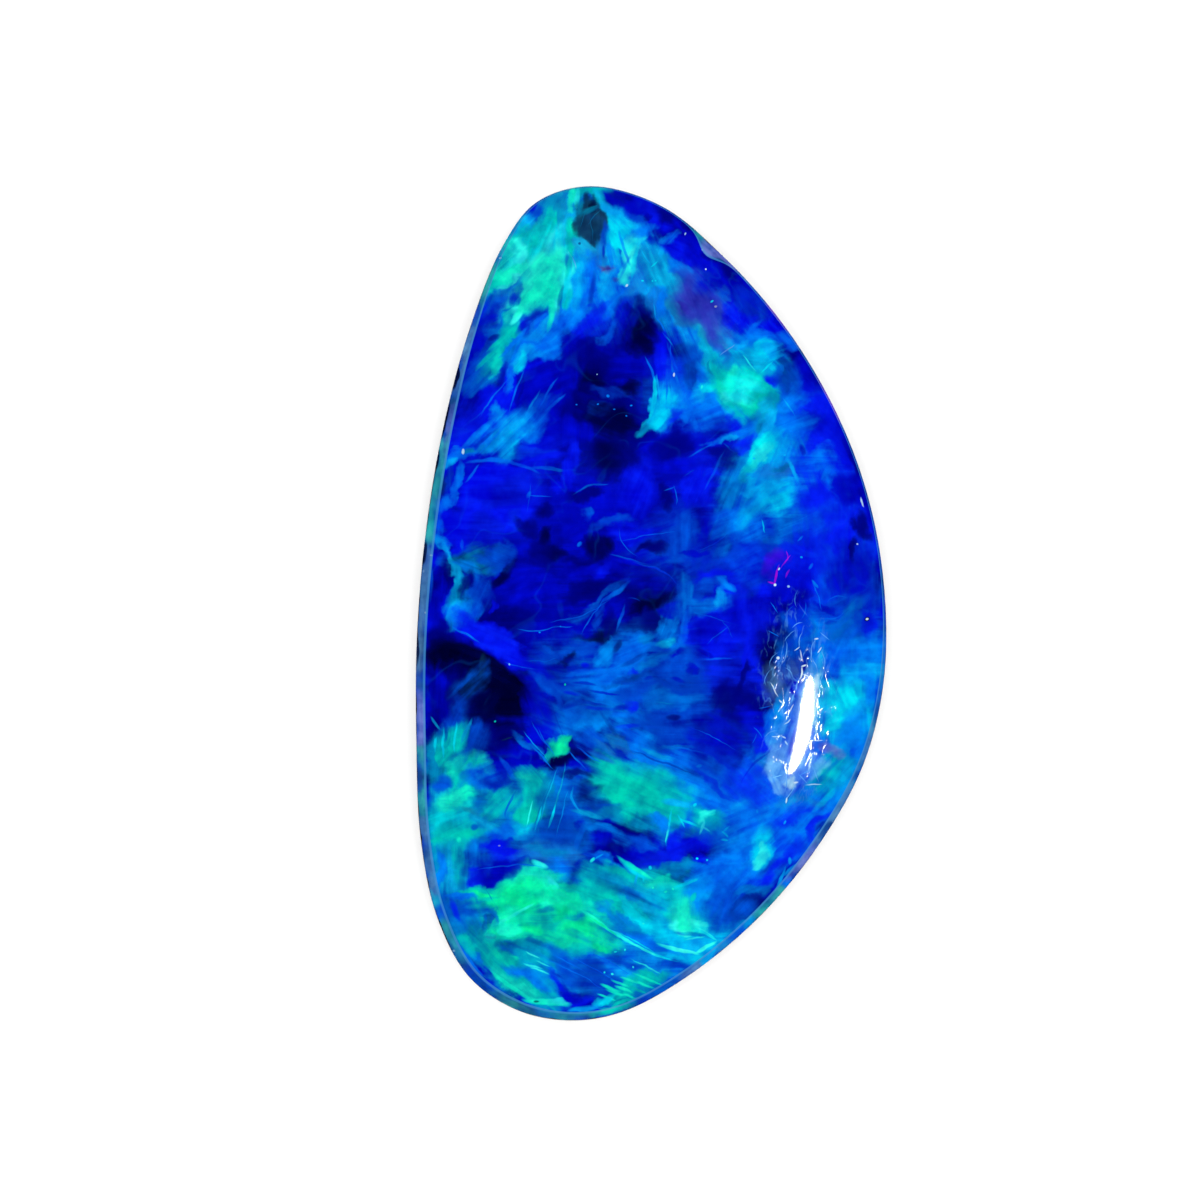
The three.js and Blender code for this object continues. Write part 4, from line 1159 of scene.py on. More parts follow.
# Below the middle: green tiles crossed by slanting strokes, and a cyan field on the right
TILES = [
    ("royal", -5.1, -2.2, 0.5, 0.2, 85),
    ("slate-marine", -4.5, -2.2, 0.6, 0.3, 55),
    ("navy", -4.15, -2.5, 0.4, 0.3, 40),
    ("black", -3.6, -2.4, 0.6, 0.5, 0),
    ("black", -3.35, -3.0, 0.4, 0.3, 0),
    ("navy", -3.95, -3.3, 0.6, 0.4, 30),
    ("royal", -2.75, -2.3, 0.5, 0.28, -60),
    ("azure", -2.45, -1.9, 0.5, 0.16, -22),
    ("marine", -2.15, -2.3, 0.3, 0.1, -60),
    ("royal", -3.0, -3.6, 0.5, 0.26, -10),
    ("royal", -3.7, -3.95, 0.45, 0.3, -10),
    ("slate", -3.4, -3.23, 0.14, 0.015, 14),
    ("marine", -4.85, -2.8, 0.5, 0.2, 60),
    ("teal", -5.1, -3.5, 0.5, 0.16, 80),
    ("teal-sea", -4.85, -3.35, 0.45, 0.28, 80),
    ("sea", -4.82, -3.55, 0.3, 0.16, 40),
    ("cyan", -4.97, -3.35, 0.34, 0.03, 88),
    ("cyan", -4.68, -3.2, 0.34, 0.026, 86),
    ("cyan", -5.17, -3.38, 0.16, 0.035, 80),
    ("sea", -4.84, -3.2, 0.2, 0.03, 84),
    ("teal-sky", -4.42, -3.05, 0.3, 0.045, 70),
    ("teal-sky", -5.15, -2.85, 0.16, 0.03, -50),
    ("marine", -4.22, -3.15, 0.45, 0.16, 75),
    ("sea-mint", -4.4, -3.9, 0.5, 0.24, 15),
    ("mint", -4.62, -3.9, 0.26, 0.16, 10),
    ("sea", -4.2, -3.85, 0.22, 0.12, 0),
    ("sea", -4.55, -4.3, 0.3, 0.2, 60),
    ("marine", -5.1, -4.28, 0.26, 0.18, 0),
    ("teal", -5.25, -3.85, 0.26, 0.1, 80),
    ("azure", -4.12, -4.2, 0.4, 0.24, 20),
    ("royal-marine", -3.7, -4.3, 0.4, 0.16, -15),
    ("sea-cyan", -4.8, -5.0, 0.55, 0.32, 20, 0, 0.75),
    ("jade-mint", -4.75, -4.72, 0.42, 0.2, 0),
    ("mint", -4.62, -4.58, 0.24, 0.1, 10),
    ("mint", -4.42, -4.76, 0.18, 0.08, 20, 0, 0.7),
    ("dusk-sea", -4.2, -4.97, 0.3, 0.07, -20),
    ("teal-azure", -4.1, -4.72, 0.16, 0.2, 0),
    ("sea", -4.6, -5.5, 0.6, 0.24, 15),
    ("jade", -4.35, -5.45, 0.22, 0.09, 50, 0, 0.7),
    ("mint", -4.6, -5.66, 0.05, 0.07, 0),
    ("jade", -5.1, -5.66, 0.14, 0.07, 0, 0, 0.6),
    ("marine", -4.2, -5.33, 0.09, 0.07, 20),
    ("teal-sea", -3.65, -4.72, 0.4, 0.26, 40),
    ("teal-sky", -3.85, -5.2, 0.45, 0.12, -32),
    ("marine", -3.4, -4.75, 0.34, 0.03, 70, 0.04),
    ("sea", -2.95, -4.3, 0.45, 0.26, -50),
    ("green", -3.0, -5.1, 0.4, 0.24, 70),
    ("sea", -3.05, -5.15, 0.3, 0.2, 70),
    ("teal", -2.65, -4.7, 0.4, 0.18, 75),
    ("sea", -3.0, -4.75, 0.55, 0.24, 80, 0, 0.6),
    ("jade-mint", -3.12, -4.17, 0.22, 0.09, -38),
    ("azure", -3.42, -3.92, 0.24, 0.07, -58),
    ("black", -2.22, -3.75, 0.26, 0.13, 20, 0, 0.8),
    ("black", -1.84, -3.42, 0.34, 0.16, -70, 0, 0.85),
    ("teal-sea", -2.32, -3.5, 0.24, 0.12, 60),
    ("green", -2.2, -3.32, 0.28, 0.14, 60, 0, 0.75, 1.3),
    ("green", -2.0, -3.2, 0.18, 0.09, 60),
    ("marine-azure", -2.9, -3.35, 0.4, 0.08, -35),
    ("sky", -2.75, -3.4, 0.38, 0.013, -52, 0, 0.65),
    ("azure", -2.6, -3.2, 0.4, 0.017, -55, 0, 0.65),
    ("azure", -2.5, -3.3, 0.34, 0.015, -60, 0, 0.65),
    ("azure", -2.6, -3.68, 0.3, 0.022, -48),
    ("marine", -2.3, -2.7, 0.45, 0.022, -68, 0, 0.65),
    ("marine", -2.2, -5.3, 0.5, 0.35, 70),
    ("teal-sky", -2.5, -4.7, 0.7, 0.02, 76, 0.03, 1.2, 0.7),
    ("teal-sky", -2.6, -4.8, 0.6, 0.022, 73, 0, 0.9),
    ("cyan", -2.66, -5.12, 0.28, 0.024, 76, 0, 1.4, 0.6),
    ("teal-sky", -2.22, -4.6, 0.7, 0.018, 78, 0, 1.2, 0.7),
    ("teal-sky", -2.26, -4.75, 0.6, 0.02, 77, 0, 0.9),
    ("cyan", -2.32, -5.08, 0.28, 0.026, 80, 0, 1.4, 0.6),
    ("aqua", -2.88, -5.0, 0.3, 0.02, 77, 0, 1.4, 0.6),
    ("sky", -2.1, -5.0, 0.5, 0.014, 78),
    ("sky", -3.2, -5.45, 0.4, 0.18, -10),
    ("cyan", -3.15, -5.42, 0.2, 0.09, -20),
    ("azure", -3.65, -5.5, 0.4, 0.2, 20),
    ("blue", -3.62, -5.72, 0.3, 0.12, 8),
    ("teal-azure", -4.05, -5.62, 0.2, 0.14, 0),
    ("azure", -1.1, -1.95, 0.7, 0.14, 5, 0, 0.7),
    ("navy-marine", -0.4, -1.75, 0.6, 0.1, 12, 0, 0.7),
    ("teal-azure", 0.1, -1.35, 0.5, 0.12, 18, 0, 0.5),
    ("navy-marine", 0.6, -1.9, 0.5, 0.1, -15, 0, 0.6),
    ("marine", 0.3, -2.2, 0.8, 0.4, 0),
    ("teal-azure", 0.25, -2.25, 0.34, 0.24, 20, 0, 0.45),
    ("teal-sky", 0.3, -2.36, 0.18, 0.012, -10, 0, 0.5),
    ("marine-azure", 0.75, -2.35, 0.3, 0.18, 0, 0, 0.6),
    ("royal", -1.55, -2.33, 0.4, 0.04, -10),
    ("royal", -1.6, -1.92, 0.26, 0.035, -5),
    ("royal", -1.15, -2.12, 0.3, 0.03, -8),
    ("blue", -1.9, -2.15, 0.2, 0.05, -10),
    ("blue", -1.3, -2.48, 0.4, 0.05, -6),
    ("azure", -1.2, -2.35, 0.24, 0.015, -12, 0, 0.65),
    ("royal", -0.72, -2.48, 0.18, 0.07, 0),
    ("azure", -0.7, -2.65, 0.4, 0.07, -6),
    ("blue", -0.4, -2.58, 0.12, 0.14, 0),
    ("azure", -1.85, -2.5, 0.24, 0.18, 20),
    ("sky-azure", -1.15, -2.8, 0.3, 0.16, 80),
    ("blue", -0.55, -2.93, 0.28, 0.055, 6),
    ("azure", -1.25, -3.35, 0.34, 0.18, -38, 0, 0.8),
    ("navy-marine", -0.95, -3.0, 0.5, 0.05, -55, 0, 0.5),
    ("dusk-azure", -1.1, -3.45, 0.3, 0.07, -40),
    ("royal-marine", 0.7, -2.9, 0.9, 0.3, 0),
    ("navy", 0.52, -2.7, 0.14, 0.07, 0),
    ("navy", 1.7, -2.35, 0.4, 0.34, 60),
    ("royal", 1.6, -3.1, 0.5, 0.34, -20),
    ("navy", 1.9, -2.75, 0.2, 0.24, 0, 0, 0.7),
    ("azure", 1.5, -3.2, 0.5, 0.01, -25, 0.03, 0.5),
    ("azure", -0.35, -3.2, 0.3, 0.12, -20),
    ("dusk-teal", -0.5, -3.4, 0.36, 0.1, -20),
    ("azure", 0.15, -3.65, 0.75, 0.12, -20),
    ("teal-sky", 0.2, -3.63, 0.4, 0.05, -22, 0, 0.6),
    ("teal-azure", 0.5, -3.35, 0.6, 0.08, -14, 0, 0.5),
    ("navy-marine", 0.3, -3.8, 0.7, 0.022, -22),
    ("azure", 0.9, -3.5, 0.45, 0.022, -10, 0, 0.65),
    ("azure", 0.75, -3.85, 0.4, 0.03, -22),
    ("sky", 1.12, -3.88, 0.07, 0.035, 20),
    ("royal", 1.3, -3.7, 0.4, 0.05, -30),
    ("blue", 1.45, -4.3, 0.6, 0.08, -35, 0, 0.5),
    ("royal", 1.6, -3.75, 0.5, 0.3, -30, 0, 0.6),
    ("azure", 1.2, -4.6, 0.6, 0.2, -20, 0, 0.8),
    ("sky", 0.95, -4.45, 0.22, 0.1, -20, 0, 0.4),
    ("marine-azure", 1.7, -4.0, 0.4, 0.14, -30),
    ("sea", 0.15, -4.4, 0.6, 0.36, -16),
    ("sea", -0.35, -4.75, 0.8, 0.4, -18),
    ("jade", -0.65, -4.3, 0.78, 0.44, -28),
    ("jade", -0.35, -4.62, 0.6, 0.26, -24, 0, 0.8),
    ("sea", -0.6, -5.08, 0.4, 0.1, -14),
    ("sea", -0.65, -4.35, 0.6, 0.02, -24, 0, 0.5),
    ("sea", -0.3, -4.72, 0.5, 0.02, -22, 0, 0.5),
    ("teal", -0.15, -5.3, 0.3, 0.1, -15),
    ("navy", -1.85, -4.1, 0.3, 0.1, 0),
    ("navy", -1.6, -4.5, 0.34, 0.18, 20),
    ("navy-marine", -1.2, -4.8, 0.3, 0.12, -10),
    ("azure", -1.75, -3.72, 0.26, 0.02, -48),
    ("violet-azure", -1.2, -3.65, 0.3, 0.07, -28),
    ("azure", -1.5, -3.6, 0.3, 0.018, -35),
    ("sky", -1.86, -4.7, 0.3, 0.03, -72, -0.08),
    ("teal-sky", -1.5, -5.03, 0.34, 0.06, -12),
    ("teal", -0.95, -5.05, 0.34, 0.12, -18),
    ("sky", 0.6, -4.75, 0.34, 0.07, -12),
    ("cyan", 0.41, -5.3, 0.36, 0.026, 84),
    ("aqua", 0.38, -5.45, 0.18, 0.02, 84),
    ("azure", 0.2, -5.25, 0.2, 0.12, -40),
    ("blue", 0.65, -5.5, 0.4, 0.16, 80),
    ("cyan", 0.7, -5.18, 0.16, 0.025, -58),
    ("cyan", 0.95, -5.25, 0.28, 0.03, -22),
    ("sea", 1.3, -5.1, 0.4, 0.24, -20),
    ("aqua", 1.22, -5.02, 0.2, 0.12, 20),
    ("cyan", 1.02, -4.79, 0.05, 0.03, 50),
    ("aqua", 1.22, -5.35, 0.16, 0.03, 70),
    ("aqua", 1.3, -5.38, 0.1, 0.022, -30),
    ("cyan", 1.74, -5.37, 0.1, 0.02, 45),
    ("cyan", 1.74, -5.47, 0.1, 0.02, -40),
    ("cyan", 1.75, -5.62, 0.08, 0.025, 0),
    ("royal", -1.65, -5.3, 0.16, 0.12, 60),
    ("azure", -1.72, -5.62, 0.3, 0.07, 74),
    ("marine-azure", -1.0, -5.5, 0.45, 0.12, -20),
    ("royal-marine", -0.3, -5.65, 0.4, 0.1, -20),
    ("cyan", 4.7, -2.35, 0.55, 0.36, -70),
    ("cyan", 4.45, -2.85, 0.36, 0.16, 30),
    ("sky", 4.95, -2.75, 0.3, 0.2, 50),
    ("azure", 5.25, -2.1, 0.45, 0.16, -85),
    ("azure", 4.85, -3.35, 0.5, 0.34, 55),
    ("blue-azure", 4.7, -3.45, 0.16, 0.1, 60),
    ("teal-sea", 4.25, -3.98, 0.5, 0.34, 50, 0, 0.7),
    ("teal-sky", 4.65, -4.0, 0.3, 0.16, 55),
    ("azure", 4.4, -4.6, 0.4, 0.18, 50),
    ("cyan", 4.15, -4.7, 0.32, 0.07, 45),
    ("dusk-azure", 3.65, -4.75, 0.4, 0.2, 0),
    ("blue", 3.5, -5.1, 0.45, 0.2, 30),
    ("blue", 4.05, -5.35, 0.4, 0.12, 50),
    ("azure", 3.65, -5.35, 0.4, 0.05, 50),
    ("navy", 2.25, -2.25, 0.35, 0.3, -30),
    ("royal", 2.3, -2.8, 0.35, 0.3, 0),
    ("blue", 2.7, -3.25, 0.35, 0.3, 0),
    ("azure", 3.0, -2.7, 0.3, 0.24, 60),
    ("azure", 2.4, -4.15, 0.4, 0.4, 30),
    ("dusk-azure", 2.9, -3.9, 0.4, 0.24, -20),
    ("royal", 2.45, -3.85, 0.5, 0.025, 44, 0.05, 0.6),
    ("azure", 2.4, -5.2, 0.5, 0.3, 20),
    ("sky", 2.62, -5.55, 0.3, 0.2, 30),
    ("cyan", 2.65, -5.65, 0.16, 0.11, 0),
    ("sky", 2.55, -4.95, 0.045, 0.03, 90),
    ("sky", 3.2, -5.25, 0.04, 0.025, 60),
]

# The foot: the big green band, mint lines and short strokes, royal blue between them
FOOT = [
    ("teal-sky", -4.7, -6.3, 0.55, 0.4, 85),
    ("teal-sea", -4.55, -6.1, 0.4, 0.16, 80),
    ("azure", -5.05, -6.3, 0.4, 0.1, 85),
    ("marine-azure", -4.1, -6.1, 0.4, 0.18, 88),
    ("royal", -3.5, -6.4, 0.75, 0.26, 6),
    ("navy-royal", -3.7, -6.45, 0.4, 0.14, 6),
    ("blue", -3.55, -5.98, 0.36, 0.22, -20),
    ("blue", -3.1, -6.08, 0.3, 0.14, -20),
    ("blue", -3.7, -5.78, 0.26, 0.16, -10),
    ("blue", -3.2, -6.02, 0.32, 0.1, -12),
    ("blue", -4.2, -6.5, 0.14, 0.16, 0),
    ("dusk-azure", -2.5, -6.0, 0.6, 0.26, 10),
    ("azure", -2.15, -6.3, 0.3, 0.2, 0),
    ("sea", -4.15, -6.75, 0.4, 0.1, 6),
    ("sea-green", -3.2, -6.95, 1.1, 0.32, 14),
    ("mint", -2.8, -6.62, 0.5, 0.24, -6),
    ("green", -3.3, -7.05, 0.5, 0.18, 20),
    ("green", -4.05, -6.9, 0.24, 0.1, -10),
    ("mint", -2.35, -6.9, 0.34, 0.24, -45),
    ("aqua", -2.3, -6.75, 0.24, 0.07, -50),
    ("aqua", -2.65, -6.23, 0.18, 0.065, -22, 0, 1.2),
    ("royal", -3.5, -6.42, 0.6, 0.14, 6),
    ("azure", -3.35, -6.25, 0.7, 0.016, 2, 0.06),
    ("sea", -3.8, -7.2, 0.3, 0.14, -30),
    ("teal", -3.78, -7.1, 0.3, 0.016, -58),
    ("sea-green", -3.0, -7.65, 0.85, 0.32, 8),
    ("sea-green", -2.35, -7.9, 0.6, 0.26, -16),
    ("mint", -3.4, -7.58, 0.5, 0.17, 28),
    ("aqua", -3.25, -7.42, 0.42, 0.045, 30, 0, 1.1),
    ("mint", -3.5, -7.85, 0.26, 0.09, 0),
    ("green", -2.9, -7.75, 0.3, 0.14, 10),
    ("teal", -2.4, -7.3, 0.36, 0.07, 14),
    ("green", -2.1, -7.15, 0.22, 0.36, 10),
    ("sea", -2.3, -7.6, 0.3, 0.1, 0),
    ("marine", -4.45, -7.35, 0.42, 0.24, -8),
    ("blue", -4.73, -7.3, 0.26, 0.07, -66),
    ("azure", -4.5, -6.95, 0.34, 0.1, 0),
    ("marine", -3.98, -7.45, 0.4, 0.09, -68),
    ("slate-marine", -4.0, -7.78, 0.16, 0.08, 80),
    ("teal-sea", -4.4, -7.95, 0.34, 0.16, -20),
    ("teal-sea", -4.15, -8.2, 0.5, 0.26, -50, 0, 0.9),
    ("azure", -4.35, -8.3, 0.3, 0.1, -52),
    ("sea", -4.45, -8.1, 0.3, 0.16, -60, 0, 0.7),
    ("sea-green", -3.65, -8.4, 0.5, 0.26, -50),
    ("sea", -3.85, -8.6, 0.4, 0.12, -50),
    ("dusk-sea", -3.82, -7.98, 0.12, 0.07, 0),
    ("navy-marine", -3.3, -8.2, 0.34, 0.14, 0),
    ("navy-marine", -2.85, -8.15, 0.26, 0.12, 0),
    ("azure", -2.5, -8.65, 0.6, 0.34, -28),
    ("azure", -3.0, -9.0, 0.5, 0.16, -25),
    ("marine", -2.3, -8.45, 0.45, 0.05, -32),
    ("marine", -2.45, -8.75, 0.4, 0.04, -30),
    ("marine", -2.1, -8.75, 0.35, 0.06, -34),
    ("sea", -2.75, -8.45, 0.5, 0.3, -30, 0, 0.5),
    ("aqua", -2.8, -8.38, 0.16, 0.02, -22, 0, 1.1),
    ("aqua", -2.8, -8.64, 0.2, 0.026, -18),
    ("aqua", -2.65, -8.76, 0.22, 0.024, -24),
    ("aqua", -2.55, -8.58, 0.16, 0.02, -24),
    ("royal", -2.0, -9.25, 0.34, 0.2, -62),
    ("blue", -2.25, -9.0, 0.3, 0.1, -40),
    ("blue", -1.65, -9.45, 0.34, 0.16, 12),
    ("royal", -1.85, -9.4, 0.16, 0.16, 0),
    ("sea", -3.3, -9.12, 0.75, 0.14, -34),
    ("sea-mint", -3.35, -9.15, 0.7, 0.12, -35, -0.06),
    ("mint", -3.35, -9.2, 0.62, 0.05, -35, -0.06, 1, 0.7),
    ("mint", -2.5, -9.55, 0.5, 0.07, -6, 0, 1, 0.7),
    ("aqua", -2.2, -9.57, 0.26, 0.09, 2),
    ("black", -2.75, -9.53, 0.05, 0.022, 0),
    ("azure", -4.3, -8.6, 0.5, 0.05, -52),
    ("dusk-azure", -1.85, -6.0, 0.26, 0.16, 0),
    ("royal-marine", -1.5, -6.3, 0.34, 0.22, 30),
    ("azure", -1.1, -6.0, 0.42, 0.12, -14),
    ("aqua", -1.4, -6.14, 0.07, 0.035, 45, 0, 1.25),
    ("sky", -1.25, -6.06, 0.1, 0.02, 30),
    ("royal", -0.2, -6.0, 0.75, 0.2, -16),
    ("royal-blue", 0.3, -6.05, 0.5, 0.2, 10),
    ("blue", 0.95, -5.78, 0.4, 0.2, 25, 0, 0.7),
    ("teal-sea", -0.95, -6.6, 0.6, 0.4, -32),
    ("sea", -0.75, -6.25, 0.4, 0.12, -32),
    ("teal", -0.95, -6.55, 0.26, 0.2, -30),
    ("cyan", -0.4, -6.34, 0.4, 0.07, -36, 0, 1.15),
    ("sky", -0.35, -6.58, 0.14, 0.03, 80),
    ("cyan", -0.17, -6.54, 0.12, 0.026, 88),
    ("cyan", 0.0, -6.3, 0.05, 0.035, 90),
    ("teal-sky", 0.0, -7.1, 0.9, 0.4, -12),
    ("marine-azure", -0.5, -7.0, 0.4, 0.16, -20),
    ("teal-azure", 0.65, -6.35, 0.42, 0.12, 6),
    ("sea-mint", 0.35, -6.68, 0.42, 0.16, -4),
    ("mint", 0.25, -6.58, 0.3, 0.11, 4),
    ("cyan", 0.72, -6.7, 0.22, 0.03, 38),
    ("cyan", 0.92, -6.58, 0.14, 0.026, 10),
    ("aqua", 1.03, -6.57, 0.04, 0.04, 0),
    ("azure", 1.3, -6.45, 0.35, 0.16, 20),
    ("blue", 1.28, -6.12, 0.2, 0.12, 20),
    ("azure", 1.75, -6.1, 0.35, 0.25, 0),
    ("sky-azure", 1.25, -6.95, 0.4, 0.3, 30),
    ("sea-cyan", 0.6, -6.85, 0.4, 0.25, 0, 0, 0.5),
    ("azure", 1.85, -6.7, 0.3, 0.24, 60),
    ("marine", 1.7, -7.3, 0.5, 0.24, 60),
    ("royal-marine", 1.9, -7.6, 0.3, 0.2, 50),
    ("sky-sea", 0.35, -7.25, 0.5, 0.2, -20),
    ("sea-cyan", -0.5, -7.38, 0.4, 0.12, -40),
    ("cyan", -0.1, -7.75, 0.5, 0.14, -18),
    ("azure", 0.0, -8.1, 0.7, 0.12, -16),
    ("sea", -1.5, -6.95, 0.5, 0.26, -28),
    ("green", -1.88, -7.2, 0.3, 0.26, 80),
    ("sea", -1.15, -7.1, 0.4, 0.1, -30),
    ("teal-azure", -0.85, -7.5, 0.55, 0.12, -36),
    ("sea-green", -1.45, -8.0, 0.65, 0.32, -14),
    ("green", -1.75, -7.75, 0.3, 0.14, -20),
    ("sea", -1.95, -8.3, 0.3, 0.12, 0),
    ("green", -1.3, -8.15, 0.36, 0.1, -14),
    ("marine", -1.5, -8.85, 0.8, 0.3, -28),
    ("marine", -0.65, -8.5, 0.5, 0.14, -16),
    ("azure", -1.3, -8.75, 0.7, 0.014, -30),
    ("azure", -1.6, -8.95, 0.6, 0.014, -30),
    ("azure", -1.0, -8.6, 0.5, 0.014, -28),
    ("azure", -1.9, -8.6, 0.4, 0.014, -32),
    ("mint", -1.35, -7.56, 0.4, 0.05, -40, 0, 1.3, 0.7),
    ("aqua", -0.78, -7.98, 0.42, 0.045, -31, 0, 1.3, 0.7),
    ("green", -1.2, -7.7, 0.45, 0.025, -38),
    ("aqua", -0.15, -8.3, 0.5, 0.032, -20, 0, 1.3, 0.7),
    ("cyan", 0.35, -8.47, 0.3, 0.02, -16, 0, 1.2, 0.7),
    ("cyan", -0.3, -8.15, 0.6, 0.018, -26, 0, 1.1, 0.7),
    ("sea-mint", 0.85, -7.4, 0.4, 0.3, 80),
    ("aqua", 0.9, -7.68, 0.36, 0.2, 5, 0, 1.15, 0.5),
    ("mint", 0.87, -7.45, 0.26, 0.11, 85, 0, 1.2, 0.6),
    ("aqua", 1.28, -7.88, 0.3, 0.035, -32, 0, 1.25, 0.6),
    ("sea", 1.0, -7.02, 0.1, 0.06, 60),
    ("sky", 0.85, -8.15, 0.4, 0.12, 0),
    ("teal-azure", 1.0, -7.93, 0.4, 0.05, -8),
    ("cyan", 1.35, -7.93, 0.24, 0.026, -30),
    ("aqua", 1.05, -8.03, 0.2, 0.02, 10),
    ("aqua", 0.62, -8.29, 0.48, 0.045, -17, 0, 1.25, 0.6),
    ("aqua", 1.3, -8.26, 0.3, 0.045, 32, 0, 1.25, 0.6),
    ("marine", 0.5, -8.68, 0.36, 0.12, 10),
    ("aqua", -0.05, -8.72, 0.4, 0.018, -26),
    ("azure", 0.42, -8.93, 0.14, 0.016, -20),
    ("teal", -0.1, -9.2, 0.5, 0.16, 24),
    ("sea", -0.1, -8.95, 0.35, 0.14, -20),
    ("mint", -0.2, -9.12, 0.26, 0.03, -24),
    ("mint", 0.02, -9.05, 0.24, 0.025, -24),
    ("mint", -0.15, -8.95, 0.26, 0.022, -24),
    ("sea", -0.7, -9.2, 0.4, 0.2, 40),
    ("mint", -0.95, -9.2, 0.22, 0.04, -24, 0, 1.1),
    ("mint", -0.5, -9.02, 0.2, 0.03, -24),
    ("mint", -0.72, -9.1, 0.2, 0.03, -26),
    ("mint", -0.82, -9.32, 0.22, 0.03, -22),
    ("mint", -1.05, -9.42, 0.2, 0.03, -20),
    ("mint", -0.62, -9.25, 0.2, 0.03, -26, 0, 1.1),
    ("sea", -0.3, -9.28, 0.25, 0.03, -24),
    ("mint", -0.5, -9.42, 0.16, 0.024, -20),
    ("cyan", -1.15, -9.5, 0.24, 0.1, 50),
    ("mint", -0.7, -9.55, 0.14, 0.04, 10),
    ("teal-sea", -0.7, -9.6, 0.45, 0.08, 18),
    ("sky", -1.6, -9.7, 0.34, 0.06, 8),
    ("cyan", 2.55, -5.9, 0.5, 0.17, 50),
    ("cyan", 2.52, -5.93, 0.34, 0.12, 50, 0, 1),
    ("azure", 2.15, -6.4, 0.35, 0.24, 40),
    ("marine", 2.75, -6.25, 0.34, 0.18, 55),
    ("blue", 3.2, -6.0, 0.45, 0.17, 40),
    ("blue", 2.7, -6.6, 0.3, 0.16, 20),
    ("teal-azure", 2.45, -6.88, 0.4, 0.1, 20),
    ("navy", 2.5, -7.15, 0.34, 0.16, 40),
    ("navy-marine", 2.2, -7.4, 0.36, 0.2, 50),
    ("sky", 3.35, -6.35, 0.26, 0.055, 35),
    ("sky", 3.07, -6.55, 0.26, 0.035, 65),
    ("sky", 3.3, -6.15, 0.08, 0.04, 90),
]
# The right of the top, down to the shoulder
RIGHT_OF_TOP = [
    ("royal", 2.2, 7.5, 0.5, 0.3, -50),
    ("marine", 2.3, 7.2, 0.4, 0.26, -60),
    ("navy", 2.3, 7.62, 0.2, 0.07, -40),
    ("blue", 2.1, 6.85, 0.22, 0.16, 60),
    ("blue-azure", 2.35, 6.7, 0.2, 0.1, 50),
    ("blue", 2.85, 6.8, 0.34, 0.2, -50),
    ("royal", 2.9, 7.0, 0.24, 0.1, -50),
    ("azure", 2.4, 6.4, 0.5, 0.2, 0),
    ("sky", 2.03, 6.35, 0.2, 0.12, 0),
    ("cyan", 2.8, 6.25, 0.24, 0.07, 8),
    ("azure", 3.15, 6.35, 0.3, 0.16, -40),
]

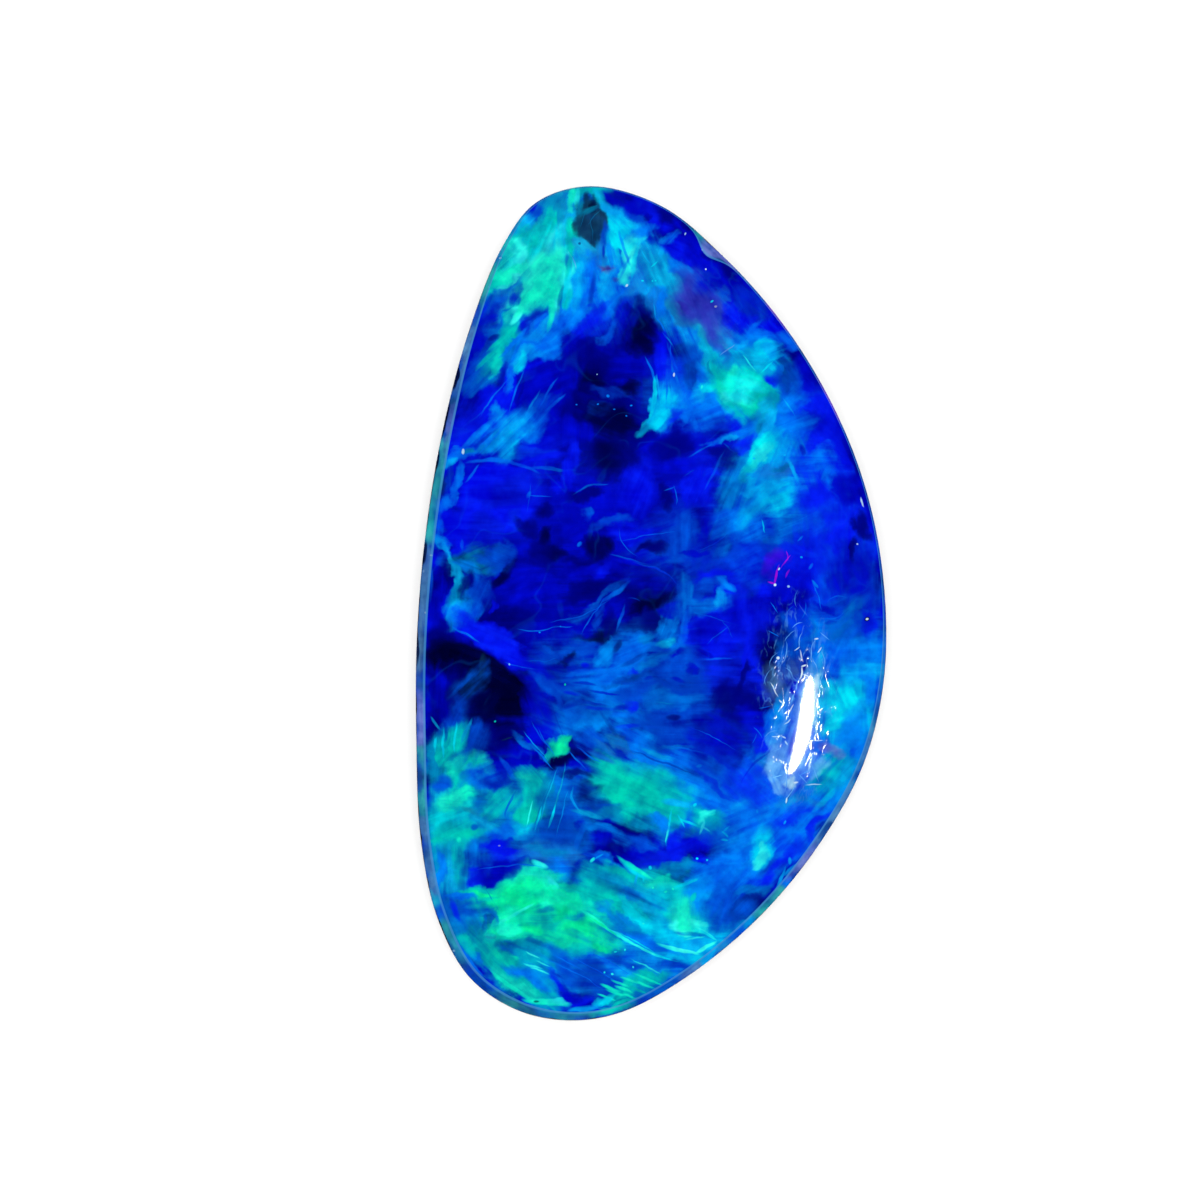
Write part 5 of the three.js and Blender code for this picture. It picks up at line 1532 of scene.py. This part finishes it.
# Specks, which are straight and all equally solid
SPECK_STRENGTH = 1.3
SPECKS = [
    ("white", 0.83, 8.88, 0.035, 0.023, 60),
    ("white", 1.27, 8.5, 0.027, 0.023, 0),
    ("white", 1.33, 8.02, 0.02, 0.017, 0),
    ("white", -0.6, 7.57, 0.035, 0.023, 50),
    ("cyan", -0.22, 7.7, 0.027, 0.02, 0),
    ("cyan", 0.02, 7.7, 0.02, 0.02, 0),
    ("cyan", 0.1, 7.7, 0.02, 0.02, 0),
    ("cyan", -0.82, 8.87, 0.023, 0.023, 0),
    ("cyan", 1.42, 7.2, 0.039, 0.016, 40),
    ("violet-white", 1.5, 7.07, 0.031, 0.023, 0),
    ("azure", -1.77, 4.72, 0.024, 0.018, 0),
    ("azure", -1.27, 4.73, 0.024, 0.018, 0),
    ("azure", -0.86, 4.58, 0.024, 0.018, 0),
    ("azure", -0.58, 4.43, 0.024, 0.018, 0),
    ("azure", -0.5, 4.71, 0.023, 0.016, 0),
    ("white", -1.31, 5.48, 0.016, 0.016, 0),
    ("azure", -1.02, 4.92, 0.031, 0.031, 0),
    ("white", -4.51, 3.6, 0.062, 0.031, 90),
    ("white", 0.57, 5.43, 0.045, 0.02, 75),
    ("aqua", 1.22, 5.17, 0.039, 0.023, 60),
    ("sky", 2.45, 3.45, 0.031, 0.023, 0),
    ("sky", 3.17, 3.57, 0.031, 0.023, 0),
    ("white", 5.02, 2.45, 0.109, 0.02, -75),
    ("white", 4.93, 1.42, 0.023, 0.02, 0),
    ("sky", 3.6, 1.1, 0.027, 0.023, 0),
    ("white", 3.32, 0.4, 0.031, 0.027, 0),
    ("white", 3, -1.3, 0.035, 0.035, 0),
    ("white", 3.07, 0.83, 0.023, 0.023, 0),
    ("white", 2.98, 0.43, 0.031, 0.027, 0),
    ("black", 5.18, -0.4, 0.053, 0.053, 0),
    ("white", 5.18, -0.4, 0.031, 0.027, 0),
    ("white", -5.28, 1.13, 0.027, 0.023, 0),
    ("white", -5.45, 0.73, 0.023, 0.031, 0),
    ("violet-white", -5.38, -0.2, 0.023, 0.023, 0),
    ("ice", -3.38, -1.42, 0.02, 0.017, 0),
    ("azure", -2.62, -0.71, 0.02, 0.017, 0),
    ("azure", -2.15, -0.6, 0.02, 0.017, 0),
    ("green", -2.08, -1.93, 0.023, 0.023, 0),
    ("sea", -3.7, -2.85, 0.023, 0.023, 0),
    ("aqua", -0.85, -8.35, 0.031, 0.023, 0),
    ("aqua", -0.63, -8.33, 0.023, 0.023, 0),
    ("aqua", -1.08, -8.83, 0.023, 0.023, 0),
    ("aqua", -0.9, -8.87, 0.023, 0.023, 0),
    ("aqua", -0.4, -8.7, 0.023, 0.023, 0),
    ("aqua", -0.2, -7.65, 0.023, 0.023, 0),
    ("mint", 0.35, -6.9, 0.027, 0.023, 0),
    ("mint", 0.5, -6.85, 0.023, 0.023, 0),
    ("mint", 0.08, -6.8, 0.023, 0.023, 0),
    ("cyan", 1.1, -6.05, 0.027, 0.023, 0),
    ("cyan", 1.35, -6.1, 0.023, 0.023, 0),
    ("white", -4.73, -8.3, 0.031, 0.023, 0),
    ("white", -3.62, 8.28, 0.031, 0.023, 60),
    ("white", -3.9, 7.6, 0.02, 0.017, 0),
    ("smoke lilac", -3.62, -5.8, 0.027, 0.02, 0),
]

# What shows only through the bevel, from the narrow end down the left and up the right. Its greyed smoke
# tones are a painted reflection of the pale surroundings in the bevel and in the flat spot
BEVEL_PATCHES_AND_REFLECTION = [
    ("smoke teal", -3.9, 7.6, 0.6, 0.2, 70),
    ("smoke blue", -4.4, 5.9, 0.7, 0.2, 75),
    ("smoke lilac", -4.85, 4.1, 0.6, 0.12, 77, 0, 0.6),
    ("smoke teal", -5.1, 2.9, 0.9, 0.2, 80),
    ("sea-smoke teal", -5.28, 1.85, 0.4, 0.2, 82),
    ("smoke blue", -5.45, 0.4, 0.9, 0.2, 86, 0, 0.7),
    ("slate-smoke blue", -5.5, -1.1, 0.6, 0.2, 89),
    ("smoke lilac", -5.5, -2.8, 0.7, 0.2, 90, 0, 0.8),
    ("smoke teal", -5.5, -3.7, 0.2, 0.2, 91, 0, 0.6),
    ("smoke teal", -5.46, -4.7, 0.45, 0.2, 92),
    ("smoke blue", -5.42, -5.4, 0.24, 0.2, 95),
    ("smoke blue", -5.35, -6.1, 0.4, 0.2, 98, 0, 0.7),
    ("smoke blue", -5.25, -6.75, 0.16, 0.2, 100),
    ("cyan-smoke teal", -5.15, -7.05, 0.2, 0.2, 105, 0, 0.7),
    ("azure", -5.08, -7.35, 0.16, 0.2, 108, 0, 0.7),
    ("smoke teal", -4.95, -7.75, 0.3, 0.2, 112),
    ("teal-smoke teal", -4.7, -8.25, 0.3, 0.2, 118),
    ("marine", -4.35, -8.75, 0.3, 0.18, 128, 0, 0.8),
    ("slate-marine", -4.0, -9.08, 0.3, 0.18, 140),
    ("slate-smoke teal", -3.2, -9.6, 0.6, 0.2, 155, 0, 0.8),
    ("smoke teal", -1.9, -9.85, 0.6, 0.2, 180, 0, 0.7),
    ("sea", -1.0, -9.75, 0.4, 0.2, 195),
    ("marine", -0.3, -9.5, 0.34, 0.2, 205),
    ("marine-azure", 0.3, -9.2, 0.4, 0.2, 212),
    ("marine-smoke blue", 0.95, -8.8, 0.4, 0.2, 218),
    ("sky", 1.4, -8.42, 0.2, 0.18, 220),
    ("azure", 2.0, -7.95, 0.34, 0.18, 222),
    ("cyan-azure", 2.3, -7.65, 0.18, 0.16, 222, 0, 0.8),
    ("sea-smoke teal", 2.65, -7.3, 0.26, 0.18, 228),
    ("smoke teal", 3.0, -6.95, 0.2, 0.18, 230),
    ("azure", 3.25, -6.65, 0.2, 0.18, 230, 0, 0.8),
    ("smoke lilac", 3.65, -6.1, 0.5, 0.2, 232, 0, 0.9),
    ("smoke blue", 4.4, -5.0, 0.7, 0.2, 238, 0, 0.8),
    ("smoke blue", 5.1, -3.5, 0.7, 0.16, 248, 0, 0.6),
    ("black", -4.66, 5.4, 0.3, 0.05, 74, 0, 1.2, 0.6),
    ("black", -4.92, 4.4, 0.4, 0.05, 77, 0, 1.2, 0.6),
    ("black", -5.15, 3.35, 0.3, 0.05, 79, 0, 1.2, 0.6),
    ("black", -5.42, 1.2, 0.3, 0.05, 85, 0, 1.1, 0.6),
    ("black", -5.6, -0.9, 0.5, 0.05, 90, 0, 1.1, 0.6),
    ("fringe", 5.2, 2.65, 0.36, 0.06, 112, 0, 0.7, 0.6),
    ("fringe", 4.25, 4.9, 0.6, 0.06, 118, 0, 0.6, 0.6),
    ("fringe", 3.02, 6.84, 0.4, 0.06, 130, 0, 0.7, 0.6),
    ("smoke blue", 2.1, 7.9, 0.3, 0.06, 135, 0, 0.7, 0.6),
    ("smoke teal", 1.12, 8.82, 0.3, 0.14, -45, 0, 1.0),
    ("smoke lilac", 1.47, 8.46, 0.26, 0.16, -45, 0, 1.0),
    ("royal-smoke lilac", 1.74, 8.2, 0.2, 0.1, -45),
]

PATCHES = WASHES + TOP + RIGHT_OF_TOP + UNDER_TOP + MIDDLE + TILES + FOOT + GLAZES + THREAD + HAZE_AND_LAMP_GLOW + GLINT_VEINS
PATCHES += [(*speck, 0, SPECK_STRENGTH) for speck in SPECKS]

# The grain of the patches is part streaks, which run along them in one of these directions and are
# this long and wide, and part clouds
STREAK_DIRECTIONS = 8
STREAK_LENGTH = 1.5
STREAK_WIDTH = 0.18
STREAK_CLEAR = (0.3, 0.7)
CLOUD_SIZE = 0.7
CLOUD_SHARE = 0.5
CLOUD_CLEAR = (0.33, 0.67)

# How far patches and strokes wander, in large and in small waves, and how long the waves are
WANDER = {
    "Place": ((0.5, 1.4, 2.0), (1.0, 0.8, 4.0)),
    "Stroke Place": ((0.25, 1.3, 2.0), (0.09, 0.35, 2.0)),
}

# What a wave's way along x, its length and its way along y are multiplied by, to start its noise at a
# place of its own
WANDER_START = (17, 31, 43)

# A patch no wider than a stroke has the first of each pair of values, and one at least as wide as a broad
# patch has the last. Both widths are half of the patch's
STROKE_WIDTH = 0.03
BROAD_WIDTH = 0.14
RAGGED = (0.2, 0.9)
SOFT = (0.8, 1.3)
SOLID = (0.72, 1.0)

# From this breadth on, 0 for a stroke and 1 for a broad patch, a patch wanders as patches do, and this is
# how far that can carry it
PATCH_BREADTH = 0.4
FARTHEST_WANDER = 0.3

# The deep blue that the patches lie on
GROUND = ((0, 0, 120), (0, 12, 222))
GROUND_SIZE = 0.9
GROUND_CLEAR = (0.35, 0.65)

# Faint wisps over everything: how long their folds are, how thin, and how big the parts that have them
WISP = (0, 116, 240)
WISP_STRENGTH = 0.06
WISP_FOLD = 1.8
WISP_WIDTH = 0.02
WISP_PART = 1.1
WISP_CLEAR = (0.42, 0.62)

# A fine mottle over everything, as what the lightest and the darkest spots multiply the colours by
MOTTLE = ((1.2, 1.24, 1.12), (0.7, 0.74, 0.89))
MOTTLE_SIZE = 0.3
MOTTLE_CLEAR = (0.3, 0.7)

# The bevel's greyer band, a painted reflection of the pale surroundings over the painting, and the
# painted
# highlight line inside it: where on the section the line lies, and how softly it begins and ends
BAND_REFLECTION = (40, 110, 160)
BAND_REFLECTION_STRENGTH = 0.45
EDGE_HIGHLIGHT = (70, 150, 220)
EDGE_HIGHLIGHT_STRENGTH = 0.55
EDGE_HIGHLIGHT_SECTION = (1.7, 2.0)
EDGE_HIGHLIGHT_EASE = (0.1, 0.04)

# How far the dark potch creeps up over the bevel's foot, in waves of this size round this middle level
POTCH_CREEP = 0.6
POTCH_CREEP_WAVE = 0.5
POTCH_CREEP_LEVEL = 0.45

# The painting is cut into tiles with no more patches than this, so that each place on the stone works
# out only the patches near it. A tile less high than this isn't cut again
PATCHES_ON_A_TILE = 45
SMALLEST_TILE = 0.3


def tone(colour):
    """The stone's own colour behind a shade as it shows, in linear light under the studio's light."""
    shown = [c / 255 / 12.92 if c <= 10 else ((c / 255 + 0.055) / 1.055) ** 2.4 for c in colour]
    return (*(c / LIGHT for c in shown), 1)


def blend(tree, factor, low, high, mode="MIX"):
    inputs = {"Factor": factor, 6: low, 7: high}
    node = add_node(tree, "ShaderNodeMix", inputs, data_type="RGBA", blend_type=mode)
    return Field(node.outputs[2])


def noise(tree, place, size, detail=2.0, distortion=0.0, **settings):
    inputs = {"Vector": place, "Scale": 1 / size, "Detail": detail, "Distortion": distortion}
    return Field(add_node(tree, "ShaderNodeTexNoise", inputs, **settings).outputs[0])


def new_tree(name, inputs, outputs):
    """A shader node group: inputs and outputs are the kinds of its sockets by name."""
    tree = bpy.data.node_groups.new(name, "ShaderNodeTree")
    for way, sockets in (("INPUT", inputs), ("OUTPUT", outputs)):
        for socket, kind in sockets.items():
            tree.interface.new_socket(socket, in_out=way, socket_type="NodeSocket" + kind)
    source = tree.nodes.new("NodeGroupInput")
    return tree, {name: Field(source.outputs[name]) for name in inputs}


def put_out(tree, name, value):
    feed(tree.nodes.new("NodeGroupOutput").inputs[name], value)


def patch_tree():
    """One patch laid over what is painted so far: an oval, bent if asked, with a ragged, soft edge."""
    kinds = {
        "Under": "Color",
        "Place": "Vector",
        "Grain": "Float",
        "Along": "Vector",
        "Across": "Vector",
        "Bend": "Float",
        "Ragged": "Float",
        "Outer": "Float",
        "Inner": "Float",
        "Strength": "Float",
        "Dark": "Color",
        "Light": "Color",
    }
    tree, given = new_tree("Patch", kinds, {"Over": "Color"})
    along = vector_node(tree, "DOT_PRODUCT", given["Place"], given["Along"], result="Value")
    across = vector_node(tree, "DOT_PRODUCT", given["Place"], given["Across"], result="Value")
    square = along * along
    bent = math_node(tree, "MULTIPLY_ADD", square, given["Bend"], across)
    distance = math_node(tree, "MULTIPLY_ADD", bent, bent, square)
    ragged = math_node(tree, "MULTIPLY_ADD", given["Grain"], given["Ragged"], distance)
    cover = smooth_step(ragged, given["Outer"], given["Inner"], high=given["Strength"])
    dark = blend(tree, cover, given["Under"], given["Dark"])
    put_out(tree, "Over", blend(tree, cover * (1 - given["Grain"]), dark, given["Light"]))
    return tree


Patch = namedtuple(
    "Patch",
    "shade x y long wide turn bend strength soft on_bevel",
    defaults=(0, PATCH_STRENGTH, 1, False),
)


def breadth_of(patch):
    """0 for a stroke, 1 for a broad patch."""
    return min(max((patch.wide - STROKE_WIDTH) / (BROAD_WIDTH - STROKE_WIDTH), 0), 1)


def by_breadth(patch, values):
    """A value between a stroke's and a broad patch's."""
    stroke, broad = values
    return stroke + (broad - stroke) * breadth_of(patch)


def edge_of(patch):
    """How ragged a patch's edge is, and where it begins and ends, by the square of the distance."""
    ragged = by_breadth(patch, RAGGED) * patch.soft
    soft = by_breadth(patch, SOFT) * patch.soft
    middle = 1 + ragged / 2
    return ragged, middle + soft, middle - soft


def reach_of(patch):
    """How far a patch can reach from its middle, along x and along y."""
    turn = math.radians(patch.turn)
    grow = edge_of(patch)[1] ** 0.5
    wander = FARTHEST_WANDER + abs(patch.bend) * grow**2
    across_x = math.hypot(patch.long * math.cos(turn), patch.wide * math.sin(turn))
    across_y = math.hypot(patch.long * math.sin(turn), patch.wide * math.cos(turn))
    return across_x * grow + wander, across_y * grow + wander


def lay(tree, patch_group, patch, middle, given, under):
    """Lays a patch over the painting so far. middle is the tile's, from which its places count."""
    turn = math.radians(patch.turn)
    ragged, outer, inner = edge_of(patch)
    along = Vector((math.cos(turn), math.sin(turn), 0)) / patch.long
    across = Vector((-math.sin(turn), math.cos(turn), 0)) / patch.wide
    for axis in (along, across):
        axis.z = axis.x * (middle[0] - patch.x) + axis.y * (middle[1] - patch.y)
    dark, _, light = patch.shade.partition("-")
    direction = round(patch.turn / 180 * STREAK_DIRECTIONS) % STREAK_DIRECTIONS
    inputs = {
        "Under": under,
        "Place": given["Place" if breadth_of(patch) * patch.soft > PATCH_BREADTH else "Stroke Place"],
        "Grain": given[f"Grain {direction}"],
        "Along": along,
        "Across": across,
        "Bend": patch.bend / patch.wide,
        "Ragged": ragged,
        "Outer": outer,
        "Inner": inner,
        "Strength": patch.strength * by_breadth(patch, SOLID),
        "Dark": tone(SHADES[dark][0]),
        "Light": tone(SHADES[light or dark][1]),
    }
    return Field(add_node(tree, "ShaderNodeGroup", inputs, node_tree=patch_group).outputs["Over"])


def field_tree():
    """What every tile reads: the place in mm with a z of 1, as patches and as strokes wander; the grain
    in each direction; the wisps and the mottle; and the deep blue that the patches lie on."""
    kinds = {name: "Vector" for name in WANDER}
    kinds |= {f"Grain {i}": "Float" for i in range(STREAK_DIRECTIONS)}
    kinds |= {"Wisps": "Float", "Mottle": "Color", "Ground": "Color"}
    tree, _ = new_tree("Fields", {}, kinds)
    here = Field(add_node(tree, "ShaderNodeTexCoord").outputs["Object"])
    flat = vector_node(tree, "MULTIPLY_ADD", here, (1 / MM, 1 / MM, 0), (0, 0, 1))
    out = tree.nodes.new("NodeGroupOutput")
    for name, waves in WANDER.items():
        place = flat
        for size, wave, detail in waves:
            for axis in ((size, 0, 0), (0, size, 0)):
                parts = (axis[0], wave, axis[1])
                moved = tuple(part * move for part, move in zip(parts, WANDER_START))
                start = vector_node(tree, "ADD", flat, moved)
                shift = scaled(tree, axis, noise(tree, start, wave, detail=detail))
                place = vector_node(tree, "ADD", place, shift)
        middle = sum(wave[0] for wave in waves) / 2
        feed(out.inputs[name], vector_node(tree, "SUBTRACT", place, (middle, middle, 0)))
    clouds = smooth_step(noise(tree, flat, CLOUD_SIZE, detail=6.0), *CLOUD_CLEAR, high=CLOUD_SHARE)
    for i in range(STREAK_DIRECTIONS):
        inputs = {
            "Vector": flat,
            "Rotation": (0, 0, math.pi * i / STREAK_DIRECTIONS),
            "Scale": (STREAK_LENGTH, STREAK_WIDTH, 1),
        }
        turned = Field(add_node(tree, "ShaderNodeMapping", inputs, vector_type="TEXTURE").outputs[0])
        streak = smooth_step(noise(tree, turned, 1, detail=4.0, distortion=0.4), *STREAK_CLEAR)
        feed(out.inputs[f"Grain {i}"], math_node(tree, "MULTIPLY_ADD", streak, 1 - CLOUD_SHARE, clouds))
    fold = math_node(tree, "ABSOLUTE", noise(tree, flat, WISP_FOLD, distortion=0.8) - 0.5)
    where = smooth_step(noise(tree, flat, WISP_PART, detail=3.0), *WISP_CLEAR)
    feed(out.inputs["Wisps"], smooth_step(fold, WISP_WIDTH, 0.0) * where)
    spots = smooth_step(noise(tree, flat, MOTTLE_SIZE, detail=5.0), *MOTTLE_CLEAR)
    feed(out.inputs["Mottle"], blend(tree, spots, *((*level, 1) for level in MOTTLE)))
    depth = smooth_step(noise(tree, flat, GROUND_SIZE, detail=4.0), *GROUND_CLEAR)
    feed(out.inputs["Ground"], blend(tree, depth, *(tone(colour) for colour in GROUND)))
    return tree, kinds


def tile_tree(name, patch_group, kinds, middle, patches):
    """The painting on one tile, on the dome and, under the band of painted reflection, on the bevel."""
    tree, given = new_tree(name, kinds | {"Bevel": "Float"}, {"Colour": "Color"})
    for place in WANDER:
        given[place] = vector_node(tree, "SUBTRACT", given[place], (*middle, 0))
    colour = given["Ground"]
    for patch in patches:
        if not patch.on_bevel:
            colour = lay(tree, patch_group, patch, middle, given, colour)
    # The bevel's band: the painting greyed by a painted reflection of the pale surroundings
    band = blend(tree, BAND_REFLECTION_STRENGTH, colour, tone(BAND_REFLECTION))
    for patch in patches:
        if patch.on_bevel:
            band = lay(tree, patch_group, patch, middle, given, band)
    put_out(tree, "Colour", blend(tree, given["Bevel"], colour, band))
    return tree


def finish_tree():
    """Mottle, wisps and painted lamp glints over the painting, and the painted highlight line in the
    bevel.
    """
    kinds = {"Colour": "Color", "Mottle": "Color"}
    kinds |= {name: "Float" for name in ("Wisps", "Glint Veins", "Section")}
    tree, given = new_tree("Finish", kinds, {"Colour": "Color"})
    colour = blend(tree, 1.0, given["Colour"], given["Mottle"], "MULTIPLY")
    colour = blend(tree, given["Wisps"] * WISP_STRENGTH, colour, tone(WISP))
    # Painted glints of the strip lamp, as pale veins where the polish is crinkled
    colour = blend(tree, given["Glint Veins"] * GLINT_VEIN_STRENGTH, colour, tone(GLINT_VEIN))
    # A painted highlight: a light line along the top of the bevel, just below the dome's edge
    (start, end), (rise, fall) = EDGE_HIGHLIGHT_SECTION, EDGE_HIGHLIGHT_EASE
    edge_highlight = smooth_step(given["Section"], start, start + rise, high=EDGE_HIGHLIGHT_STRENGTH)
    inside = smooth_step(given["Section"], end, end - fall)
    put_out(tree, "Colour", blend(tree, edge_highlight * inside, colour, tone(EDGE_HIGHLIGHT)))
    return tree


def paint(tree, box, patches, surface):
    """The shader of the part of the painting inside box. A crowded box is halved across its longer
    side, and only the half that a place lies in is worked out there."""
    (left, low), (right, high) = box
    near = []
    for patch in patches:
        reach_x, reach_y = reach_of(patch)
        if left < patch.x + reach_x and patch.x - reach_x < right:
            if low < patch.y + reach_y and patch.y - reach_y < high:
                near.append(patch)
    if len(near) <= PATCHES_ON_A_TILE or high - low < SMALLEST_TILE:
        return surface(((left + right) / 2, (low + high) / 2), near)
    if right - left > high - low:
        middle = (left + right) / 2
        halves = ((left, low), (middle, high)), ((middle, low), (right, high))
        over = Field(surface.here[0]) - middle * MM
    else:
        middle = (low + high) / 2
        halves = ((left, low), (right, middle)), ((left, middle), (right, high))
        over = Field(surface.here[1]) - middle * MM
    side = math_node(tree, "GREATER_THAN", over, 0.0)
    parts = [paint(tree, half, near, surface) for half in halves]
    return Field(add_node(tree, "ShaderNodeMixShader", {0: side, 1: parts[0], 2: parts[1]}).outputs[0])


class Surface:
    """Makes the polished surface of a tile."""

    def __init__(self, tree):
        self.tree = tree
        self.patch_group = patch_tree()
        self.finish_group = finish_tree()
        field_group, self.kinds = field_tree()
        self.fields = add_node(tree, "ShaderNodeGroup", node_tree=field_group)
        here = Field(add_node(tree, "ShaderNodeTexCoord").outputs["Object"])
        self.here = add_node(tree, "ShaderNodeSeparateXYZ", {"Vector": here}).outputs
        section = add_node(tree, "ShaderNodeAttribute", attribute_name="section")
        self.section = Field(section.outputs["Fac"])
        in_mm = vector_node(tree, "MULTIPLY", here, (1 / MM, 1 / MM, 1 / MM))
        self.relief = relief(tree, in_mm)
        # Where the crinkles are, both for the bump and for the painted glints of the lamp
        self.glint_veins = crinkles(tree, in_mm)
        self.bevel = smooth_step(self.section, BEVEL_SECTION[1], BEVEL_SECTION[1] - BEVEL_BLEND)
        self.ragged_edge = noise(tree, in_mm, POTCH_CREEP_WAVE, detail=3.0)
        self.made = 0

    def __call__(self, middle, patches):
        self.made += 1
        group = tile_tree(f"Tile {self.made}", self.patch_group, self.kinds, middle, patches)
        inputs = {name: Field(self.fields.outputs[name]) for name in self.kinds} | {"Bevel": self.bevel}
        painted = Field(add_node(self.tree, "ShaderNodeGroup", inputs, node_tree=group).outputs["Colour"])
        inputs = {name: inputs[name] for name in ("Wisps", "Mottle")}
        inputs |= {"Colour": painted, "Glint Veins": self.glint_veins, "Section": self.section}
        finished = add_node(self.tree, "ShaderNodeGroup", inputs, node_tree=self.finish_group)
        return polish(self.tree, Field(finished.outputs["Colour"]), self.relief)


def crinkles(tree, place):
    """1 along fine winding crinkles where the polish has them, and 0 elsewhere."""
    flat = vector_node(tree, "MULTIPLY", place, (1, 1, 0))
    from_middle = vector_node(tree, "SUBTRACT", flat, CRINKLED)
    from_middle = vector_node(tree, "DIVIDE", from_middle, CRINKLED_SIZE)
    distance = vector_node(tree, "LENGTH", from_middle, result="Value")
    inputs = {"Vector": vector_node(tree, "SUBTRACT", place, LAMP_SHINE), "Angle": SHINE_TURN}
    turned = add_node(tree, "ShaderNodeVectorRotate", inputs, rotation_type="Z_AXIS")
    from_shine = vector_node(tree, "MULTIPLY", Field(turned.outputs[0]), (1, 1, 0))
    from_shine = vector_node(tree, "DIVIDE", from_shine, SMOOTH_SIZE)
    outside = vector_node(tree, "LENGTH", from_shine, result="Value")
    stretched = vector_node(tree, "MULTIPLY", place, CRINKLE_STRETCH)
    winding = noise(tree, stretched, CRINKLE_WAVE, detail=3.0, distortion=0.5)
    fold = math_node(tree, "ABSOLUTE", winding - 0.5)
    clear = smooth_step(noise(tree, place, CRINKLE_GAPS), 0.4, 0.6)
    there = smooth_step(distance, 1.1, 0.5) * smooth_step(outside, 0.8, 1.2)
    return smooth_step(fold, CRINKLE_WIDTH, 0.0) * clear * there


def relief(tree, place):
    """The normals of a surface with the slight waves and fine crinkles of a hand-held polish."""
    waves = noise(tree, place, RELIEF_WAVE, distortion=0.5)
    height = math_node(tree, "MULTIPLY_ADD", crinkles(tree, place), CRINKLE_DEPTH / RELIEF_DEPTH, waves)
    inputs = {"Strength": 1.0, "Distance": RELIEF_DEPTH * MM, "Height": height}
    return Field(add_node(tree, "ShaderNodeBump", inputs).outputs["Normal"])


def polish(tree, colour, normal):
    """A glossy shader of this colour, with the normals of the relief."""
    inputs = {
        "Base Color": colour,
        "Roughness": POLISH,
        "IOR": OPAL_IOR,
        "Specular IOR Level": GLOSS,
        "Normal": normal,
    }
    return Field(add_node(tree, "ShaderNodeBsdfPrincipled", inputs).outputs["BSDF"])


def potch(tree):
    """The dark, ground potch of the wall and the back."""
    inputs = {
        "Base Color": tone(POTCH),
        "Roughness": POTCH_ROUGHNESS,
        "IOR": OPAL_IOR,
        "Specular IOR Level": POTCH_GLOSS,
    }
    return Field(add_node(tree, "ShaderNodeBsdfPrincipled", inputs).outputs["BSDF"])


def polished_opal():
    material = bpy.data.materials.new("polished opal")
    material.use_nodes = True
    tree = material.node_tree
    tree.nodes.clear()
    surface = Surface(tree)
    box = ((-WIDTH / 2, -LENGTH / 2), (WIDTH / 2, LENGTH / 2))
    patches = [Patch(*patch) for patch in PATCHES]
    patches += [Patch(*patch)._replace(on_bevel=True) for patch in BEVEL_PATCHES_AND_REFLECTION]
    face = paint(tree, box, patches, surface)
    crept = surface.section - surface.ragged_edge * POTCH_CREEP
    foot = BEVEL_SECTION[0] - POTCH_CREEP * POTCH_CREEP_LEVEL
    above = math_node(tree, "GREATER_THAN", crept, foot)
    whole = add_node(tree, "ShaderNodeMixShader", {0: above, 1: potch(tree), 2: face})
    out = tree.nodes.new("ShaderNodeOutputMaterial")
    feed(out.inputs["Surface"], Field(whole.outputs[0]))
    return material


# The stage

def make_floor():
    mesh = bpy.data.meshes.new("floor")
    ways = ((-1, -1), (1, -1), (1, 1), (-1, 1))
    corners = [(x * FLOOR_HALF, y * FLOOR_HALF, -FLOOR_DROP * MM) for x, y in ways]
    mesh.from_pydata(corners, [], [(0, 1, 2, 3)])
    material = bpy.data.materials.new("pale card")
    material.use_nodes = True
    shader = material.node_tree.nodes["Principled BSDF"]
    shader.inputs["Base Color"].default_value = CARD
    shader.inputs["Roughness"].default_value = CARD_ROUGHNESS
    mesh.materials.append(material)
    floor = bpy.data.objects.new("floor", mesh)
    floor.visible_glossy = False
    bpy.context.scene.collection.objects.link(floor)
    return floor


def make_light():
    world = bpy.data.worlds.new("studio")
    bpy.context.scene.world = world
    world.use_nodes = True
    background = world.node_tree.nodes["Background"]
    background.inputs["Color"].default_value = (1, 1, 1, 1)
    background.inputs["Strength"].default_value = LIGHT
    world.cycles_visibility.glossy = False


def make_lamp():
    """A strip lamp low on the right. It is only there for its mirror image in the dome."""
    strip = bpy.data.lights.new("strip", "AREA")
    strip.shape = "ELLIPSE"
    strip.size = LAMP_LENGTH * MM
    strip.size_y = LAMP_WIDTH * MM
    strip.energy = LAMP_POWER
    lamp = bpy.data.objects.new("strip", strip)
    lamp.visible_diffuse = False
    shine = Vector(LAMP_SHINE) * MM
    towards = Vector(LAMP_DIRECTION).normalized()
    lamp.location = shine + towards * LAMP_DISTANCE * MM
    along = Vector(LAMP_ALONG)
    along = (along - along.dot(towards) * towards).normalized()
    across = towards.cross(along)
    lamp.rotation_euler = Matrix((along, across, towards)).transposed().to_euler()
    bpy.context.scene.collection.objects.link(lamp)


def make_camera():
    camera = bpy.data.cameras.new("camera")
    camera.sensor_width = FILM_WIDTH
    view_width = PHOTO_WIDTH / PHOTO_SCALE
    camera.lens = FILM_WIDTH * CAMERA_DISTANCE / view_width
    camera.clip_start = 0.01
    eye = bpy.data.objects.new("camera", camera)
    middle_x = (PHOTO_WIDTH / 2 - PHOTO_MIDDLE[0]) / PHOTO_SCALE
    middle_y = (PHOTO_MIDDLE[1] - PHOTO_WIDTH / 2) / PHOTO_SCALE
    eye.location = Vector((middle_x, middle_y, CAMERA_DISTANCE + DOME_EDGE)) * MM
    bpy.context.scene.collection.objects.link(eye)
    bpy.context.scene.camera = eye


make_camera()
make_light()
make_lamp()
stone = make_stone(polished_opal())
floor = make_floor()
bpy.context.scene.view_settings.view_transform = "Standard"

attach(stone, "root")
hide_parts("opal_cabochon")
